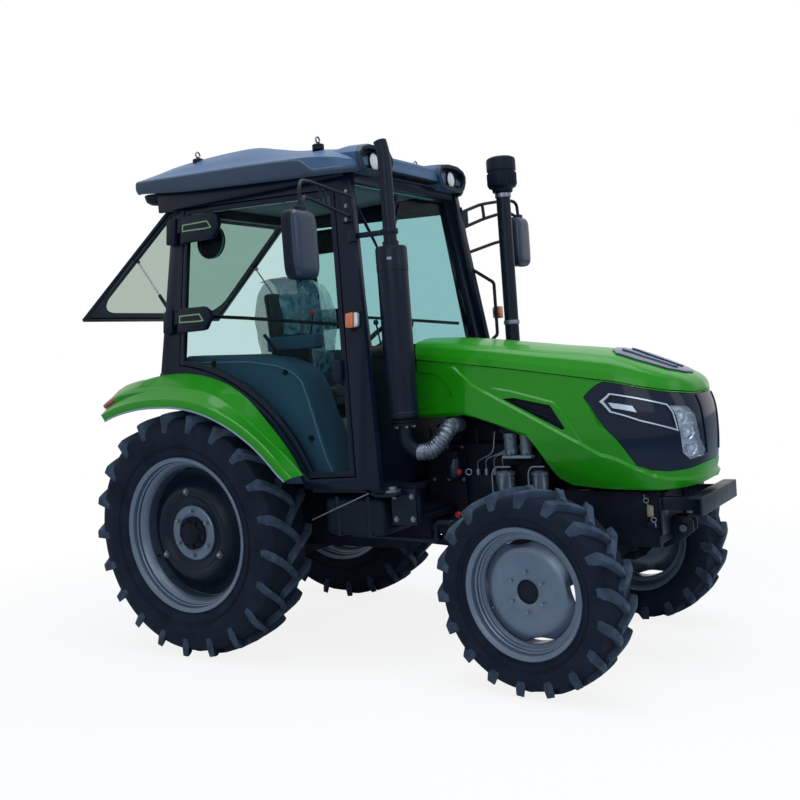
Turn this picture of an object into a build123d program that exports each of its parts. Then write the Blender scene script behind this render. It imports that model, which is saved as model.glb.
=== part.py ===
from build123d import *
from math import atan2, cos, degrees, hypot, radians, sin, tan
import os

# A cab tractor with four driven wheels. Millimetres; X forward, Y to the left, Z up.
# Heights are above the ground, and X is counted from the rear axle until save() moves it.

# Wheels and axles
WHEELBASE = 2188
REAR_TRACK = 1532
FRONT_TRACK = 1490
REAR_TYRE_R = 738
REAR_TYRE_W = 340
REAR_RIM_R = 465
REAR_RIM_W = 290
FRONT_TYRE_R = 508
FRONT_TYRE_W = 250
FRONT_RIM_R = 328
FRONT_RIM_W = 206
TYRE_WALL = 26
RIM_DEPTH = 66        # from the flange's edge down to the well
RIM_PLATE = 7
DISC_CREST_R = 258
HUB_PLATE_R = 165
REAR_SHAFT_R = 40
FRONT_SHAFT_R = 30
STEER_ANGLE = -6.5
STEER_MAX = 35
KINGPIN_Y = 575
KINGPIN_R = 20
STEERING_ARM = 165
TIE_PIN_R = 10
TIE_ROD_R = 15

# Cab
CAB_HALF = 730        # half width of the side walls at WAIST_Z
WAIST_Z = 1700
CAB_LEAN = degrees(atan2(0.12, 1))
CAB_WALL = 45
CAB_FLOOR_Z = 1010
CAB_TOP_Z = 2740
GLASS = 6
DOOR_T = 26
DOOR_RIM = 30
DOOR_GAP = 8
DOOR_SWING = 75
DOOR_HINGE_BACK = 16   # from the door's rear edge to the hinge axis
DOOR_HINGE_OUT = 24    # from the door's face to the hinge axis
DOOR_REAR_LOW = (-100, 1747)
DOOR_REAR_HIGH = (-63, 2693)
DOOR_HINGE_Z = (2592, 2035)
DOOR_PIN_R = 6
DOOR_KNUCKLE_R = 14

# Rear window, hinged at its top edge and held open by two gas struts
WINDOW_HINGE = (-214, 2736)
WINDOW_LENGTH = 1040
WINDOW_CLOSED = 5.5   # degrees from the vertical
WINDOW_OPEN = 52.0
STRUT_BASE = (-196, 1950)
STRUT_Y = 575
STRUT_EYE = 450       # along the window from its hinge
STRUT_STUD = 34       # from the pane to the eye's centre
STRUT_PIN_R = 6
BARREL_LENGTH = 312
PISTON_LENGTH = 308
PISTON_R = 5

# Windscreen: its foot and head in the side view, and half its width at each
SCREEN_FOOT = (1242, 1765)
SCREEN_HEAD = (1123, 2677)
SCREEN_FOOT_HALF = 612
SCREEN_HEAD_HALF = 515

# Hood
HOOD_WALL = 5
HOOD_FRONT = 2884
HOOD_HINGE = (1290, 1766)
HOOD_REAR = 1268
HOOD_SWING = 42
HOOD_PIN_R = 7
HOOD_PIN_HALF = 50
STRAP_R = 8.4         # the rounded ends of the firewall's hinge straps

# Rear linkage
ARM_PIVOT = (-375, 950)
ARM_END = (-640, 1000)
LOWER_PIVOT = (-170, 430)
LOWER_BALL = (-985, 505)
LOWER_BALL_Y = 412
LIFT_POINT = (-600, 470)
LIFT_EYE_HALF = 17
LIFT_PIN_R = 12
LINK_PIN_R = 14
ROCK_SHAFT_R = 28
TOP_LINK = (-470, 858)
LOWER_BALL_R = 14.35
TOP_LINK_R = 12.85
PTO_R = 17.45
PTO_Z = 640
PTO_BEARING_R = 30
BLOCK_HALF = 215      # half width of the engine block
RAIL_HALF = 226       # to the inner faces of the front rails
SHAFT_Z = 590         # where the front drive shaft leaves the gearbox
GEARBOX_REAR = -330
DRAWBAR_PIN_R = 16

MUFFLER = (1405, -600)
INTAKE = (1580, 440)
STEP_HALF = (640, 815)
FRONT_END = 2900      # face of the ballast carrier
REAR_END = -1075      # lower edge of the opened rear window
SHIFT_X = -(FRONT_END + REAR_END) / 2
PIN_PLAY = 0.05
SEAT = 0.3            # gap left where one piece sits on another
MIRROR_Y = 1235
WHEEL_CENTRE = (940, 0, 1815)
COLUMN_TILT = 38
LAMP_Y = 412
LAMP_Z = 2768
LAMP_R = 46
EYE_FRONT_X = 921
EYE_REAR_X = 0
LEFT = 1
RIGHT = -1

nodes = {}


def slab(x0, x1, y0, y1, z0, z1):
    """A block between two corners."""
    return Pos((x0 + x1) / 2, (y0 + y1) / 2, (z0 + z1) / 2) * Box(x1 - x0, y1 - y0, z1 - z0)


def rod(start, end, radius):
    """A round bar from one point to another."""
    a, b = Vector(*start), Vector(*end)
    bar = Cylinder(radius, (b - a).length, align=(Align.CENTER, Align.CENTER, Align.MIN))
    return Plane(origin=a, z_dir=b - a) * bar


def tube(points, radius, bend):
    """A round bar bent along a route, with one bend radius."""
    path = FilletPolyline(*points, radius=bend)
    section = Plane(origin=path @ 0, z_dir=path % 0) * Circle(radius)
    return sweep(section, path=path)


def side_plate(outline, y0, y1):
    """A plate drawn in the side view as (x, z) points, from y0 to y1."""
    wire = Polyline(*[(x, y0, z) for x, z in outline], close=True)
    return extrude(make_face(wire), amount=y1 - y0, dir=(0, 1, 0))


def plan_plate(outline, z0, z1):
    """A plate drawn from above as (x, y) points, from z0 to z1."""
    wire = Polyline(*[(x, y, z0) for x, y in outline], close=True)
    return extrude(make_face(wire), amount=z1 - z0, dir=(0, 0, 1))


def front_plate(outline, x0, x1):
    """A plate drawn from ahead as (y, z) points, from x0 to x1."""
    wire = Polyline(*[(x0, y, z) for y, z in outline], close=True)
    return extrude(make_face(wire), amount=x1 - x0, dir=(1, 0, 0))


def turned(profile, x, z):
    """A body turned about a wheel axis; the profile is (radius, y) points."""
    wire = Polyline(*[(x + r, y, z) for r, y in profile], close=True)
    return revolve(make_face(wire), axis=Axis((x, 0, z), (0, 1, 0)))


def both_sides(shape):
    """The piece and its mirror image."""
    return [shape, mirror(shape, Plane.XZ)]


def to_side(shape, side):
    """The left piece as it is, or its mirror image on the right."""
    return shape if side == LEFT else mirror(shape, Plane.XZ)


def steered(shape, side):
    """Turn a piece about its kingpin to the steering angle the machine stands at."""
    pin = Axis((WHEELBASE, side * KINGPIN_Y, 0), (0, 0, 1))
    return shape.rotate(pin, STEER_ANGLE)


def save(name, *pieces):
    """Keep one node, moved to the frame's origin in the middle of the machine's length."""
    shapes = [Pos(SHIFT_X, 0, 0) * piece for piece in pieces]
    nodes[name] = shapes[0] if len(shapes) == 1 else Compound(children=shapes)


# Windscreen plane: local x runs to the left, local y up the leaning glass, local z backwards.
SCREEN_LEAN = atan2(SCREEN_FOOT[0] - SCREEN_HEAD[0], SCREEN_HEAD[1] - SCREEN_FOOT[1])
SCREEN_PLANE = Plane(origin=(SCREEN_FOOT[0], 0, SCREEN_FOOT[1]), x_dir=(0, -1, 0),
                     z_dir=(-cos(SCREEN_LEAN), 0, -sin(SCREEN_LEAN)))

# Cab side planes: local x is X, local y runs up the leaning wall, local z points inwards.
LEAN = radians(CAB_LEAN)
SIDE_PLANE = Plane(origin=(0, CAB_HALF, WAIST_Z), x_dir=(1, 0, 0), z_dir=(0, -cos(LEAN), -sin(LEAN)))


def up_wall(z):
    """Distance up the leaning wall to a height."""
    return (z - WAIST_Z) / cos(LEAN)


def wall_y(z):
    """Half width of the cab's outer face at a height."""
    return CAB_HALF - tan(LEAN) * (z - WAIST_Z)


def wall_panel(face, depth, thickness):
    """A piece of the left wall from a local face, set in by depth."""
    return SIDE_PLANE * (Pos(0, 0, depth) * extrude(face, amount=thickness))


def wheel_parts():
    """Tyres, rims and rear discs, with the shafts that carry them."""
    sets = (
        # name, x, track, tyre radius, tyre width, flange radius, rim width, lug depth
        ("rear", 0, REAR_TRACK, REAR_TYRE_R, REAR_TYRE_W, REAR_RIM_R, REAR_RIM_W, 34),
        ("front", WHEELBASE, FRONT_TRACK, FRONT_TYRE_R, FRONT_TYRE_W, FRONT_RIM_R, FRONT_RIM_W, 30),
    )
    for end, x, track, tyre_r, tyre_w, flange_r, rim_w, lug in sets:
        for side, word in ((LEFT, "left"), (RIGHT, "right")):
            y = track / 2
            tyre = Pos(0, y, 0) * tyre_ring(x, tyre_r, tyre_w, flange_r, rim_w)
            rim = Pos(0, y, 0) * rim_ring(x, tyre_r, flange_r, rim_w)
            if end == "rear":
                save(f"tyre_{end}_{word}", to_side(tyre, side))
                save(f"rim_{end}_{word}", to_side(rim, side))
                save(f"wheel_disc_{end}_{word}", to_side(rear_disc(), side))
            else:
                rim = rim + front_disc()
                save(f"tyre_{end}_{word}", steered(to_side(tyre, side), side))
                save(f"rim_{end}_{word}", steered(to_side(rim, side), side))


def tyre_ring(x, tyre_r, tyre_w, flange_r, rim_w):
    """A hollow tyre about its own centre plane, open to the rim."""
    half, bead, seat = tyre_w / 2, rim_w / 2 - 9, flange_r - 24
    middle = (tyre_r + flange_r) / 2
    wall = TYRE_WALL
    outline = [
        (seat, -bead), (flange_r + 14, -bead), (middle, -half), (tyre_r - 34, -half * 0.93),
        (tyre_r - 8, -half * 0.78), (tyre_r, -half * 0.4), (tyre_r, half * 0.4),
        (tyre_r - 8, half * 0.78), (tyre_r - 34, half * 0.93), (middle, half),
        (flange_r + 14, bead), (seat, bead), (seat, bead - wall),
        (middle - 12, half - wall), (tyre_r - 2.2 * wall, half * 0.8 - wall / 2),
        (tyre_r - 2.2 * wall, -half * 0.8 + wall / 2), (middle - 12, -half + wall), (seat, -bead + wall),
    ]
    return turned(outline, x, tyre_r)


def rim_ring(x, tyre_r, flange_r, rim_w):
    """A drop-centre rim: flanges, bead seats and well, rolled from one plate."""
    half, plate = rim_w / 2, RIM_PLATE
    seat, well = flange_r - 24.3, flange_r - RIM_DEPTH
    outer = [
        (flange_r, -half), (flange_r, -half + plate), (seat, -half + plate + 2),
        (seat - 3, -half + 44), (well, -half * 0.42), (well, half * 0.42), (seat - 3, half - 44),
        (seat, half - plate - 2), (flange_r, half - plate), (flange_r, half),
    ]
    inner = [
        (seat - plate, half), (seat - plate - 3, half - 40), (well - plate, half * 0.38),
        (well - plate, -half * 0.38), (seat - plate - 3, -half + 40), (seat - plate, -half),
    ]
    return turned(outer + inner, x, tyre_r)


def rear_disc():
    """The dished centre of a rear wheel, its hub and the half shaft it drives on."""
    well = REAR_RIM_R - RIM_DEPTH - RIM_PLATE - SEAT
    y = REAR_TRACK / 2
    front = [
        (well, y - 24), (well, y - 10), (350, y - 12), (300, y + 34), (DISC_CREST_R + 4, y + 78),
        (DISC_CREST_R - 20, y + 78), (204, y + 50), (HUB_PLATE_R, y + 50), (HUB_PLATE_R, y + 66),
        (92, y + 66), (92, y + 96), (70, y + 108), (0.01, y + 108),
    ]
    shaft = [(0.01, 560), (REAR_SHAFT_R, 560), (REAR_SHAFT_R, 660), (70, 668), (105, y - 60), (105, y + 36)]
    back = [(204, y + 36), (DISC_CREST_R - 20, y + 64), (DISC_CREST_R, y + 64), (292, y + 26), (345, y - 24)]
    return turned(front + shaft + back, 0, REAR_TYRE_R)


def front_disc():
    """The pressed centre of a front wheel with its hub and stub shaft."""
    well = FRONT_RIM_R - RIM_DEPTH - RIM_PLATE
    y = FRONT_TRACK / 2
    disc = [
        (well + 0.6, y + 18), (well + 0.6, y + 30), (200, y + 50), (150, y + 62), (62, y + 60), (62, y + 72),
        (40, y + 84), (0.01, y + 84), (0.01, 655), (FRONT_SHAFT_R, 655), (FRONT_SHAFT_R, 712), (70, 716),
        (82, y + 46), (150, y + 54), (200, y + 40),
    ]
    return turned(disc, WHEELBASE, FRONT_TYRE_R)


def driveline():
    """Engine, gearbox, rear axle and the shaft to the front axle."""
    engine = slab(1300, 2020, -BLOCK_HALF, BLOCK_HALF, 700, 1180) + slab(1340, 1980, -150, 150, 1180, 1290)
    engine += slab(1330, 1980, -170, 170, 612, 700)
    engine += rod((2020, 0, 960), (2065, 0, 960), 95)
    save("engine_block", engine)
    bell = side_plate([(1299.8, 640), (1299.8, 968), (1110, 960), (1110, 600)], -235, 235)
    box = slab(240, 1110, -190, 190, 560, 950)
    rear = slab(GEARBOX_REAR, 240, -215, 215, 470, 970)
    housing = bell + box + rear
    housing -= rod((1080, 0, SHAFT_Z), (1320, 0, SHAFT_Z - 14), 45)
    housing -= rod((GEARBOX_REAR - 1, 0, PTO_Z), (GEARBOX_REAR + 90, 0, PTO_Z), PTO_BEARING_R + PIN_PLAY)
    px, pz = LOWER_PIVOT
    for side in (LEFT, RIGHT):
        housing += rod((px, side * 214, pz + 50), (px, side * 224, pz + 50), 60)
        housing += slab(px - 40, px + 40, *sorted((side * 190, side * 224)), pz - 35, pz + 60)
        housing += rod((px, side * 200, pz), (px, side * 292, pz), LINK_PIN_R)
    save("gearbox_housing", housing)
    trumpet = [
        (0.01, 215.2), (150, 215.2), (150, 250), (112, 290), (98, 470), (140, 500), (140, 560),
        (80, 575), (80, 620), (REAR_SHAFT_R + PIN_PLAY, 620), (REAR_SHAFT_R + PIN_PLAY, 540), (0.01, 540),
    ]
    save("rear_axle_housing", *both_sides(turned(trumpet, 0, REAR_TYRE_R)))
    shaft = rod((1080 + 2, 0, SHAFT_Z), (2130 - 2.6, 0, FRONT_TYRE_R + 9), 30)
    save("front_drive_shaft", shaft)


def front_end():
    """Bolster rails, axle beam, radiator and the ballast carrier."""
    rail = side_plate([(1900, 700), (1900, 925), (2660, 925), (2660, 640), (2060, 640)], RAIL_HALF, 262)
    rails = both_sides(rail)
    nose = slab(2560, 2660, -RAIL_HALF, RAIL_HALF, 650, 900)
    saddle = slab(2090, 2290, -RAIL_HALF, RAIL_HALF, 660, 740)
    rear_web = slab(2020.2, 2050, -RAIL_HALF, RAIL_HALF, 700, 850)
    save("front_bolster", rails[0] + rails[1] + nose + saddle + rear_web)
    centre = slab(2095, 2285, -120, 120, 430, 600) + slab(2150, 2226, -60, 60, 600, 660 - SEAT)
    arms = [front_plate([(120, 445), (120, 575), (530, 552), (530, 464)], 2140, 2236)]
    arms.append(mirror(arms[0], Plane.XZ))
    beam = centre + arms
    for side in (LEFT, RIGHT):
        x, y = WHEELBASE, side * KINGPIN_Y
        beam += rod((x, y, 440), (x, y, 576), 62)
        beam -= rod((x, y, 430), (x, y, 586), KINGPIN_R + PIN_PLAY)
    save("front_axle_beam", beam - rod((2130, 0, 520), (1990, 0, 520), 45))
    face, top, depth = FRONT_END, 904, 92
    channel = slab(face - 12, face, -331, 331, top - depth, top)
    channel += slab(face - 70, face, -331, 331, top - 10, top)
    channel += slab(face - 70, face, -331, 331, top - depth, top - depth + 10)
    arms = [slab(2660 + SEAT, face - 12, 205, 225, top - depth + 10, top - 10)]
    arms += [slab(2660 + SEAT, 2676, 150, 262, 700, top - 10)]
    save("ballast_carrier", channel + both_sides(arms[0] + arms[1]))
    frame = slab(2270, 2360, -255, 255, 925 + SEAT, 1470)
    save("radiator", frame - slab(2262, 2285, -225, 225, 960, 1440) - slab(2345, 2368, -225, 225, 960, 1440))


def knuckles():
    """Steering knuckles with their final drives and arms, and the tie rod between the arms."""
    for side, word in ((LEFT, "left"), (RIGHT, "right")):
        y, hub = KINGPIN_Y, FRONT_SHAFT_R + PIN_PLAY
        drum = turned([(hub, 645), (hub, 706), (95, 706), (118, 680), (118, 645)], WHEELBASE, FRONT_TYRE_R)
        fork = slab(WHEELBASE - 60, WHEELBASE + 60, y - 55, 680, 582, 618)
        fork += slab(WHEELBASE - 60, WHEELBASE + 60, y - 55, 680, 398, 434)
        pin = rod((WHEELBASE, y, 400), (WHEELBASE, y, 612), KINGPIN_R)
        web = slab(WHEELBASE - 60, WHEELBASE + 60, 645, 680, 420, 600)
        end = WHEELBASE - STEERING_ARM
        arm = slab(end, WHEELBASE, y - 26, y + 26, 398, 422) + rod((end, y, 398), (end, y, 422), 26)
        arm -= rod((end, y, 390), (end, y, 430), TIE_PIN_R + PIN_PLAY)
        web -= rod((WHEELBASE, 600, FRONT_TYRE_R), (WHEELBASE, 706, FRONT_TYRE_R), hub)
        knuckle = fork + pin + arm + web + drum
        save(f"knuckle_{word}", steered(to_side(knuckle, side), side))
    ends = [steered_point(WHEELBASE - STEERING_ARM, side * KINGPIN_Y, side) for side in (LEFT, RIGHT)]
    left, right = [(x, y, 375) for x, y in ends]
    rod_body = rod(left, right, TIE_ROD_R)
    for x, y, z in (left, right):
        rod_body += rod((x, y, z - 18), (x, y, 392), 22)
        rod_body += rod((x, y, 380), (x, y, 424), TIE_PIN_R)
    save("tie_rod", rod_body)


def steered_point(x, y, side):
    """Where a point of a knuckle lies at the resting steering angle."""
    turn = radians(STEER_ANGLE)
    dx, dy = x - WHEELBASE, y - side * KINGPIN_Y
    return WHEELBASE + dx * cos(turn) - dy * sin(turn), side * KINGPIN_Y + dx * sin(turn) + dy * cos(turn)


def low_parts():
    """Fuel tank, battery box, steps and the cab's mounts."""
    tank = slab(880, 1290, 330, 690, 722, 950)
    tank = fillet(tank.edges().filter_by(Axis.X), 45)
    tank += slab(900, 940, 190 + SEAT, 340, 870, 900) + slab(1240, 1280, 235 + SEAT, 340, 870, 900)
    tank += rod((1270, 640, 940), (1270, 640, 972), 36)
    save("fuel_tank", mirror(tank, Plane.XZ))
    box = fillet(slab(1000, 1290, 330, 642, 740, 950).edges().filter_by(Axis.X), 20)
    box += slab(1020, 1060, 190 + SEAT, 340, 870, 900) + slab(1230, 1270, 235 + SEAT, 340, 870, 900)
    inner, outer = STEP_HALF
    steps = slab(930, 1250, inner, outer, 430, 455) + slab(930, 1250, inner, outer - 15, 690, 715)
    for x in (930, 1225):
        steps += slab(x, x + 25, inner, inner + 60, 430, CAB_FLOOR_Z - 30 - SEAT)
    route = [(1000, -560, 708), (1530, -560, 692), (1540, -560, 795), (1640, -560, 795)]
    route.append((1640, -BLOCK_HALF - SEAT, 795))
    rail = tube(route, 12, 22)
    rail += slab(985, 1015, -575, -545, 700, 722 - SEAT)
    save("cab_steps", steps + box, rail)
    front = slab(1330, 1490, BLOCK_HALF + SEAT, 640, 800, 830) + slab(1330, 1490, 620, 640, 800, 940)
    front += rod((1410, 570, 830), (1410, 570, CAB_FLOOR_Z - 30 - SEAT), 45)
    back = rod((0, 425, 851.2), (0, 425, CAB_FLOOR_Z - 30.3), 48) + slab(-70, 70, 380, 470, 851.2, 880)
    back -= rod((0, 100, REAR_TYRE_R), (0, 600, REAR_TYRE_R), 112)
    save("cab_mounts", *both_sides(front), *both_sides(back))


def stacks():
    """Exhaust silencer and pipe on the right, air intake with its bowl on the left."""
    x, y = MUFFLER
    pipe = tube([(x, y, 2280), (x, y, 2780), (x - 16, y, 2845)], 36, 60)
    muffler = rod((x, y, 1360), (x, y, 2285), 86) + rod((x, y, 1345), (x, y, 1362), 60)
    inlet = [(x, y, 1350), (x, y, 1230), (x + 60, y + 60, 1180), (x + 60, -BLOCK_HALF - SEAT, 1180)]
    muffler += tube(inlet, 38, 50)
    muffler += pipe
    muffler += rod((x, y, 2366), (1217, -634, 2366), 9)
    save("exhaust_stack", muffler)
    x, y = INTAKE
    stack = rod((x, y, 1010), (x, y, 2660), 43) + rod((x, y, 2655), (x, y, 2680), 62)
    stack += rod((x, y, 2678), (x, y, 2872), 88) + rod((x, y, 960), (x, y, 1300), 95)
    stack += slab(x - 40, x + 40, BLOCK_HALF + SEAT, y, 1040, 1110)
    save("air_intake_stack", stack)
    filters = []
    for fx in (1800, 1910):
        can = rod((fx, -262, 1120), (fx, -262, 1235), 42)
        can += slab(fx - 30, fx + 30, -262, -BLOCK_HALF - SEAT, 1130, 1178)
        filters.append(can)
    save("fuel_filters", *filters)


def cab_outlines():
    """The door's outline and the wall's outline, as local faces of the left wall."""
    s = up_wall
    door = [
        Line((DOOR_REAR_HIGH[0], s(DOOR_REAR_HIGH[1])), (1067, s(2638))),
        Line((1067, s(2638)), (1203, s(1076))),
        Line((1203, s(1076)), (899, s(1066))),
        ThreePointArc((899, s(1066)), (545, s(1480)), (DOOR_REAR_LOW[0], s(DOOR_REAR_LOW[1]))),
        Line((DOOR_REAR_LOW[0], s(DOOR_REAR_LOW[1])), (DOOR_REAR_HIGH[0], s(DOOR_REAR_HIGH[1]))),
    ]
    return make_face(Wire(door))


def wall_outline():
    """The whole left wall, from the arch over the wheel to the roof rail."""
    s = up_wall
    edges = [
        Line((-165, s(CAB_TOP_Z)), (1172, s(CAB_TOP_Z))),
        Line((1172, s(CAB_TOP_Z)), (1363, s(1004))),
        Line((1363, s(1004)), (866, s(1004))),
        ThreePointArc((866, s(1004)), (600, s(1372)), (67, s(1650))),
        Line((67, s(1650)), (-268, s(1650))),
        Line((-268, s(1650)), (-165, s(CAB_TOP_Z))),
    ]
    return make_face(Wire(edges))


def shrunk(face, amount):
    """A face drawn in by an even margin."""
    return offset(face, amount=-amount, kind=Kind.INTERSECTION)


def cab_shell():
    """The welded frame, floor with wheel arches, front wall, rear wall and windscreen."""
    door = cab_outlines()
    opening = offset(door, amount=DOOR_GAP, kind=Kind.INTERSECTION)
    side = wall_panel(wall_outline(), 0, CAB_WALL) - wall_panel(opening, -5, CAB_WALL + 10)
    stop = wall_panel(opening, DOOR_T + 2, CAB_WALL - DOOR_T - 2)
    stop -= wall_panel(shrunk(door, 12), DOOR_T - 5, CAB_WALL)
    side += stop
    side += door_knuckles()
    frame = side + mirror(side, Plane.XZ)
    top_y = wall_y(CAB_TOP_Z)
    for x0, x1 in ((-165, -120), (1110, 1160)):
        frame += slab(x0, x1, -top_y + 4, top_y - 4, CAB_TOP_Z - 60, CAB_TOP_Z)
    low_y = wall_y(1650) - 3
    rear_sill = slab(-268, -218, -low_y, low_y, 1652, 1705)
    frame += rear_sill
    frame += windscreen_frame()
    hx, hz = WINDOW_HINGE
    lug = [(-150, hz - 16), (-150, hz + 4), (hx - 6, hz + 9), (hx - 9, hz - 4), (hx + 2, hz - 9)]
    for y in (-438, -368, 362, 432):
        frame += side_plate(lug, y, y + 6)
    for y in (-438, 362):
        frame += rod((hx, y, hz), (hx, y + 76, hz), 5)
    bx, bz = STRUT_BASE
    for side in (LEFT, RIGHT):
        frame += rod((bx, side * (wall_y(bz) - 20), bz), (bx, side * (STRUT_Y - 15), bz), STRUT_PIN_R)
    rail = tube([(1215, 640, 2240), (1322, 745, 2140), (1322, 745, 1800), (1262, 690, 1735)], 11, 30)
    frame += rail + slab(1306, 1330, 740, 760, 1930, 1962)
    save("cab_frame", frame)

    floor_y = 555
    floor = slab(-250, 1232, -floor_y, floor_y, CAB_FLOOR_Z - 30, CAB_FLOOR_Z)
    for side in (LEFT, RIGHT):
        y0, y1 = sorted((side * floor_y, side * 765))
        floor += slab(880, 1350, y0, y1, CAB_FLOOR_Z - 30, CAB_FLOOR_Z)
        arch = side_plate([(880, 985), (880, 1010), (640, 1365), (120, 1640), (-250, 1640), (-250, 985)],
                          *sorted((side * (floor_y - 6), side * floor_y)))
        cover = side_plate([(880, 1004), (640, 1365), (120, 1640), (-250, 1640), (-250, 1634), (118, 1634),
                            (635, 1361), (874, 1004)], *sorted((side * (floor_y - 6), side * 680)))
        floor += arch + cover
    for side in (LEFT, RIGHT):
        floor += slab(1345, 1480, *sorted((side * 540, side * 640)), CAB_FLOOR_Z - 30, CAB_FLOOR_Z - 4)
        floor += slab(1232, 1360, *sorted((side * 540, side * 640)), CAB_FLOOR_Z - 30, CAB_FLOOR_Z - 4)
        hx, hz = HOOD_HINGE
        y0, y1 = sorted((side * 40, side * HOOD_PIN_HALF))
        strap = [(1239, 1640), (1239, 1690), (1264, 1698), (hx - STRAP_R, hz), (hx + STRAP_R, hz - 6)]
        floor += side_plate(strap, y0, y1)
        floor += rod((hx, y0, hz), (hx, y1, hz), STRAP_R)
    floor += rod((hx, -HOOD_PIN_HALF, hz), (hx, HOOD_PIN_HALF, hz), HOOD_PIN_R)
    floor += slab(-256, -250, -floor_y, floor_y, CAB_FLOOR_Z - 30, 1651.5)
    floor += slab(1232, 1240, -650, 650, CAB_FLOOR_Z - 30, 1699.5)
    save("cab_floor", floor)

    opening = windscreen_face(0)
    save("windscreen", SCREEN_PLANE * (Pos(0, 0, 12) * extrude(offset(opening, amount=-0.2), amount=GLASS)))


def windscreen_face(margin):
    """The windscreen opening, drawn larger by a margin."""
    height = hypot(SCREEN_FOOT[0] - SCREEN_HEAD[0], SCREEN_HEAD[1] - SCREEN_FOOT[1])
    foot, head = SCREEN_FOOT_HALF, SCREEN_HEAD_HALF
    face = make_face(Polyline((-foot, 0), (foot, 0), (head, height), (-head, height), close=True))
    return offset(face, amount=margin, kind=Kind.INTERSECTION) if margin else face


def windscreen_frame():
    """The posts, head and sill round the windscreen."""
    low, high = 1700, CAB_TOP_Z
    up = [(z - SCREEN_FOOT[1]) / cos(SCREEN_LEAN) for z in (low, high)]
    inset = 20
    outer = [(-wall_y(low) + inset, up[0]), (wall_y(low) - inset, up[0]),
             (wall_y(high) - inset, up[1]), (-wall_y(high) + inset, up[1])]
    ring = make_face(Polyline(*outer, close=True)) - windscreen_face(0)
    return SCREEN_PLANE * extrude(ring, amount=40) & slab(900, 1400, -800, 800, low, high)


def door_rear_x(z):
    """X of the door's rear edge at a height."""
    (x0, z0), (x1, z1) = DOOR_REAR_LOW, DOOR_REAR_HIGH
    return x0 + (x1 - x0) * (z - z0) / (z1 - z0)


def hinge_point(z):
    """A point of the left door's hinge line."""
    local = Vector(door_rear_x(z) - DOOR_HINGE_BACK, up_wall(z), -DOOR_HINGE_OUT)
    return tuple(SIDE_PLANE.from_local_coords(local))


def door_axis(side):
    """A point and the direction of a door's hinge line."""
    low, high = [Vector(*hinge_point(z)) for z in (DOOR_REAR_LOW[1], DOOR_REAR_HIGH[1])]
    direction = (high - low).normalized()
    return (low.X, side * low.Y, low.Z), (direction.X, side * direction.Y, direction.Z)


def wall_block(x0, x1, z0, z1, depth, thickness):
    """A block on the left wall, following the slope of the door's rear edge."""
    shift = door_rear_x(z1) - door_rear_x(z0)
    outline = make_face(Polyline((x0, up_wall(z0)), (x1, up_wall(z0)), (x1 + shift, up_wall(z1)),
                                 (x0 + shift, up_wall(z1)), close=True))
    return wall_panel(outline, depth, thickness)


def door_knuckles():
    """The frame's half of the left door's two hinges, with their pins."""
    parts = []
    for z in DOOR_HINGE_Z:
        parts.append(rod(hinge_point(z - 46), hinge_point(z + 46), DOOR_PIN_R))
        for low, high in ((z - 46, z - 28 - SEAT), (z + 28 + SEAT, z + 46)):
            back = door_rear_x(low) - DOOR_HINGE_BACK
            parts.append(rod(hinge_point(low), hinge_point(high), DOOR_KNUCKLE_R))
            foot = wall_block(back - 20, back, low + 1.5, high - 1.5, -DOOR_HINGE_OUT, DOOR_HINGE_OUT + 2)
            parts.append(foot)
    return parts


def doors():
    """A glazed door on each side, hung at its rear edge on two hinges."""
    outline = cab_outlines()
    rim = wall_panel(outline, 0, DOOR_T) - wall_panel(shrunk(outline, DOOR_RIM), -5, DOOR_T + 10)
    pane = wall_panel(shrunk(outline, DOOR_RIM + 0.2), 10, GLASS)
    frame = rim
    for z in DOOR_HINGE_Z:
        edge = door_rear_x(z - 45)
        frame += wall_block(edge + 8, edge + 150, z - 45, z + 45, -34, 34)
        edge = door_rear_x(z - 28)
        frame += wall_block(edge - DOOR_HINGE_BACK, edge + 10, z - 26, z + 26, -34, 20)
        frame += rod(hinge_point(z - 28), hinge_point(z + 28), DOOR_KNUCKLE_R)
    for z in DOOR_HINGE_Z:
        frame -= rod(hinge_point(z - 50), hinge_point(z + 50), DOOR_PIN_R + PIN_PLAY)
    for side, word in ((LEFT, "left"), (RIGHT, "right")):
        save(f"door_frame_{word}", to_side(frame, side))
        save(f"door_glass_{word}", to_side(pane, side))


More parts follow.
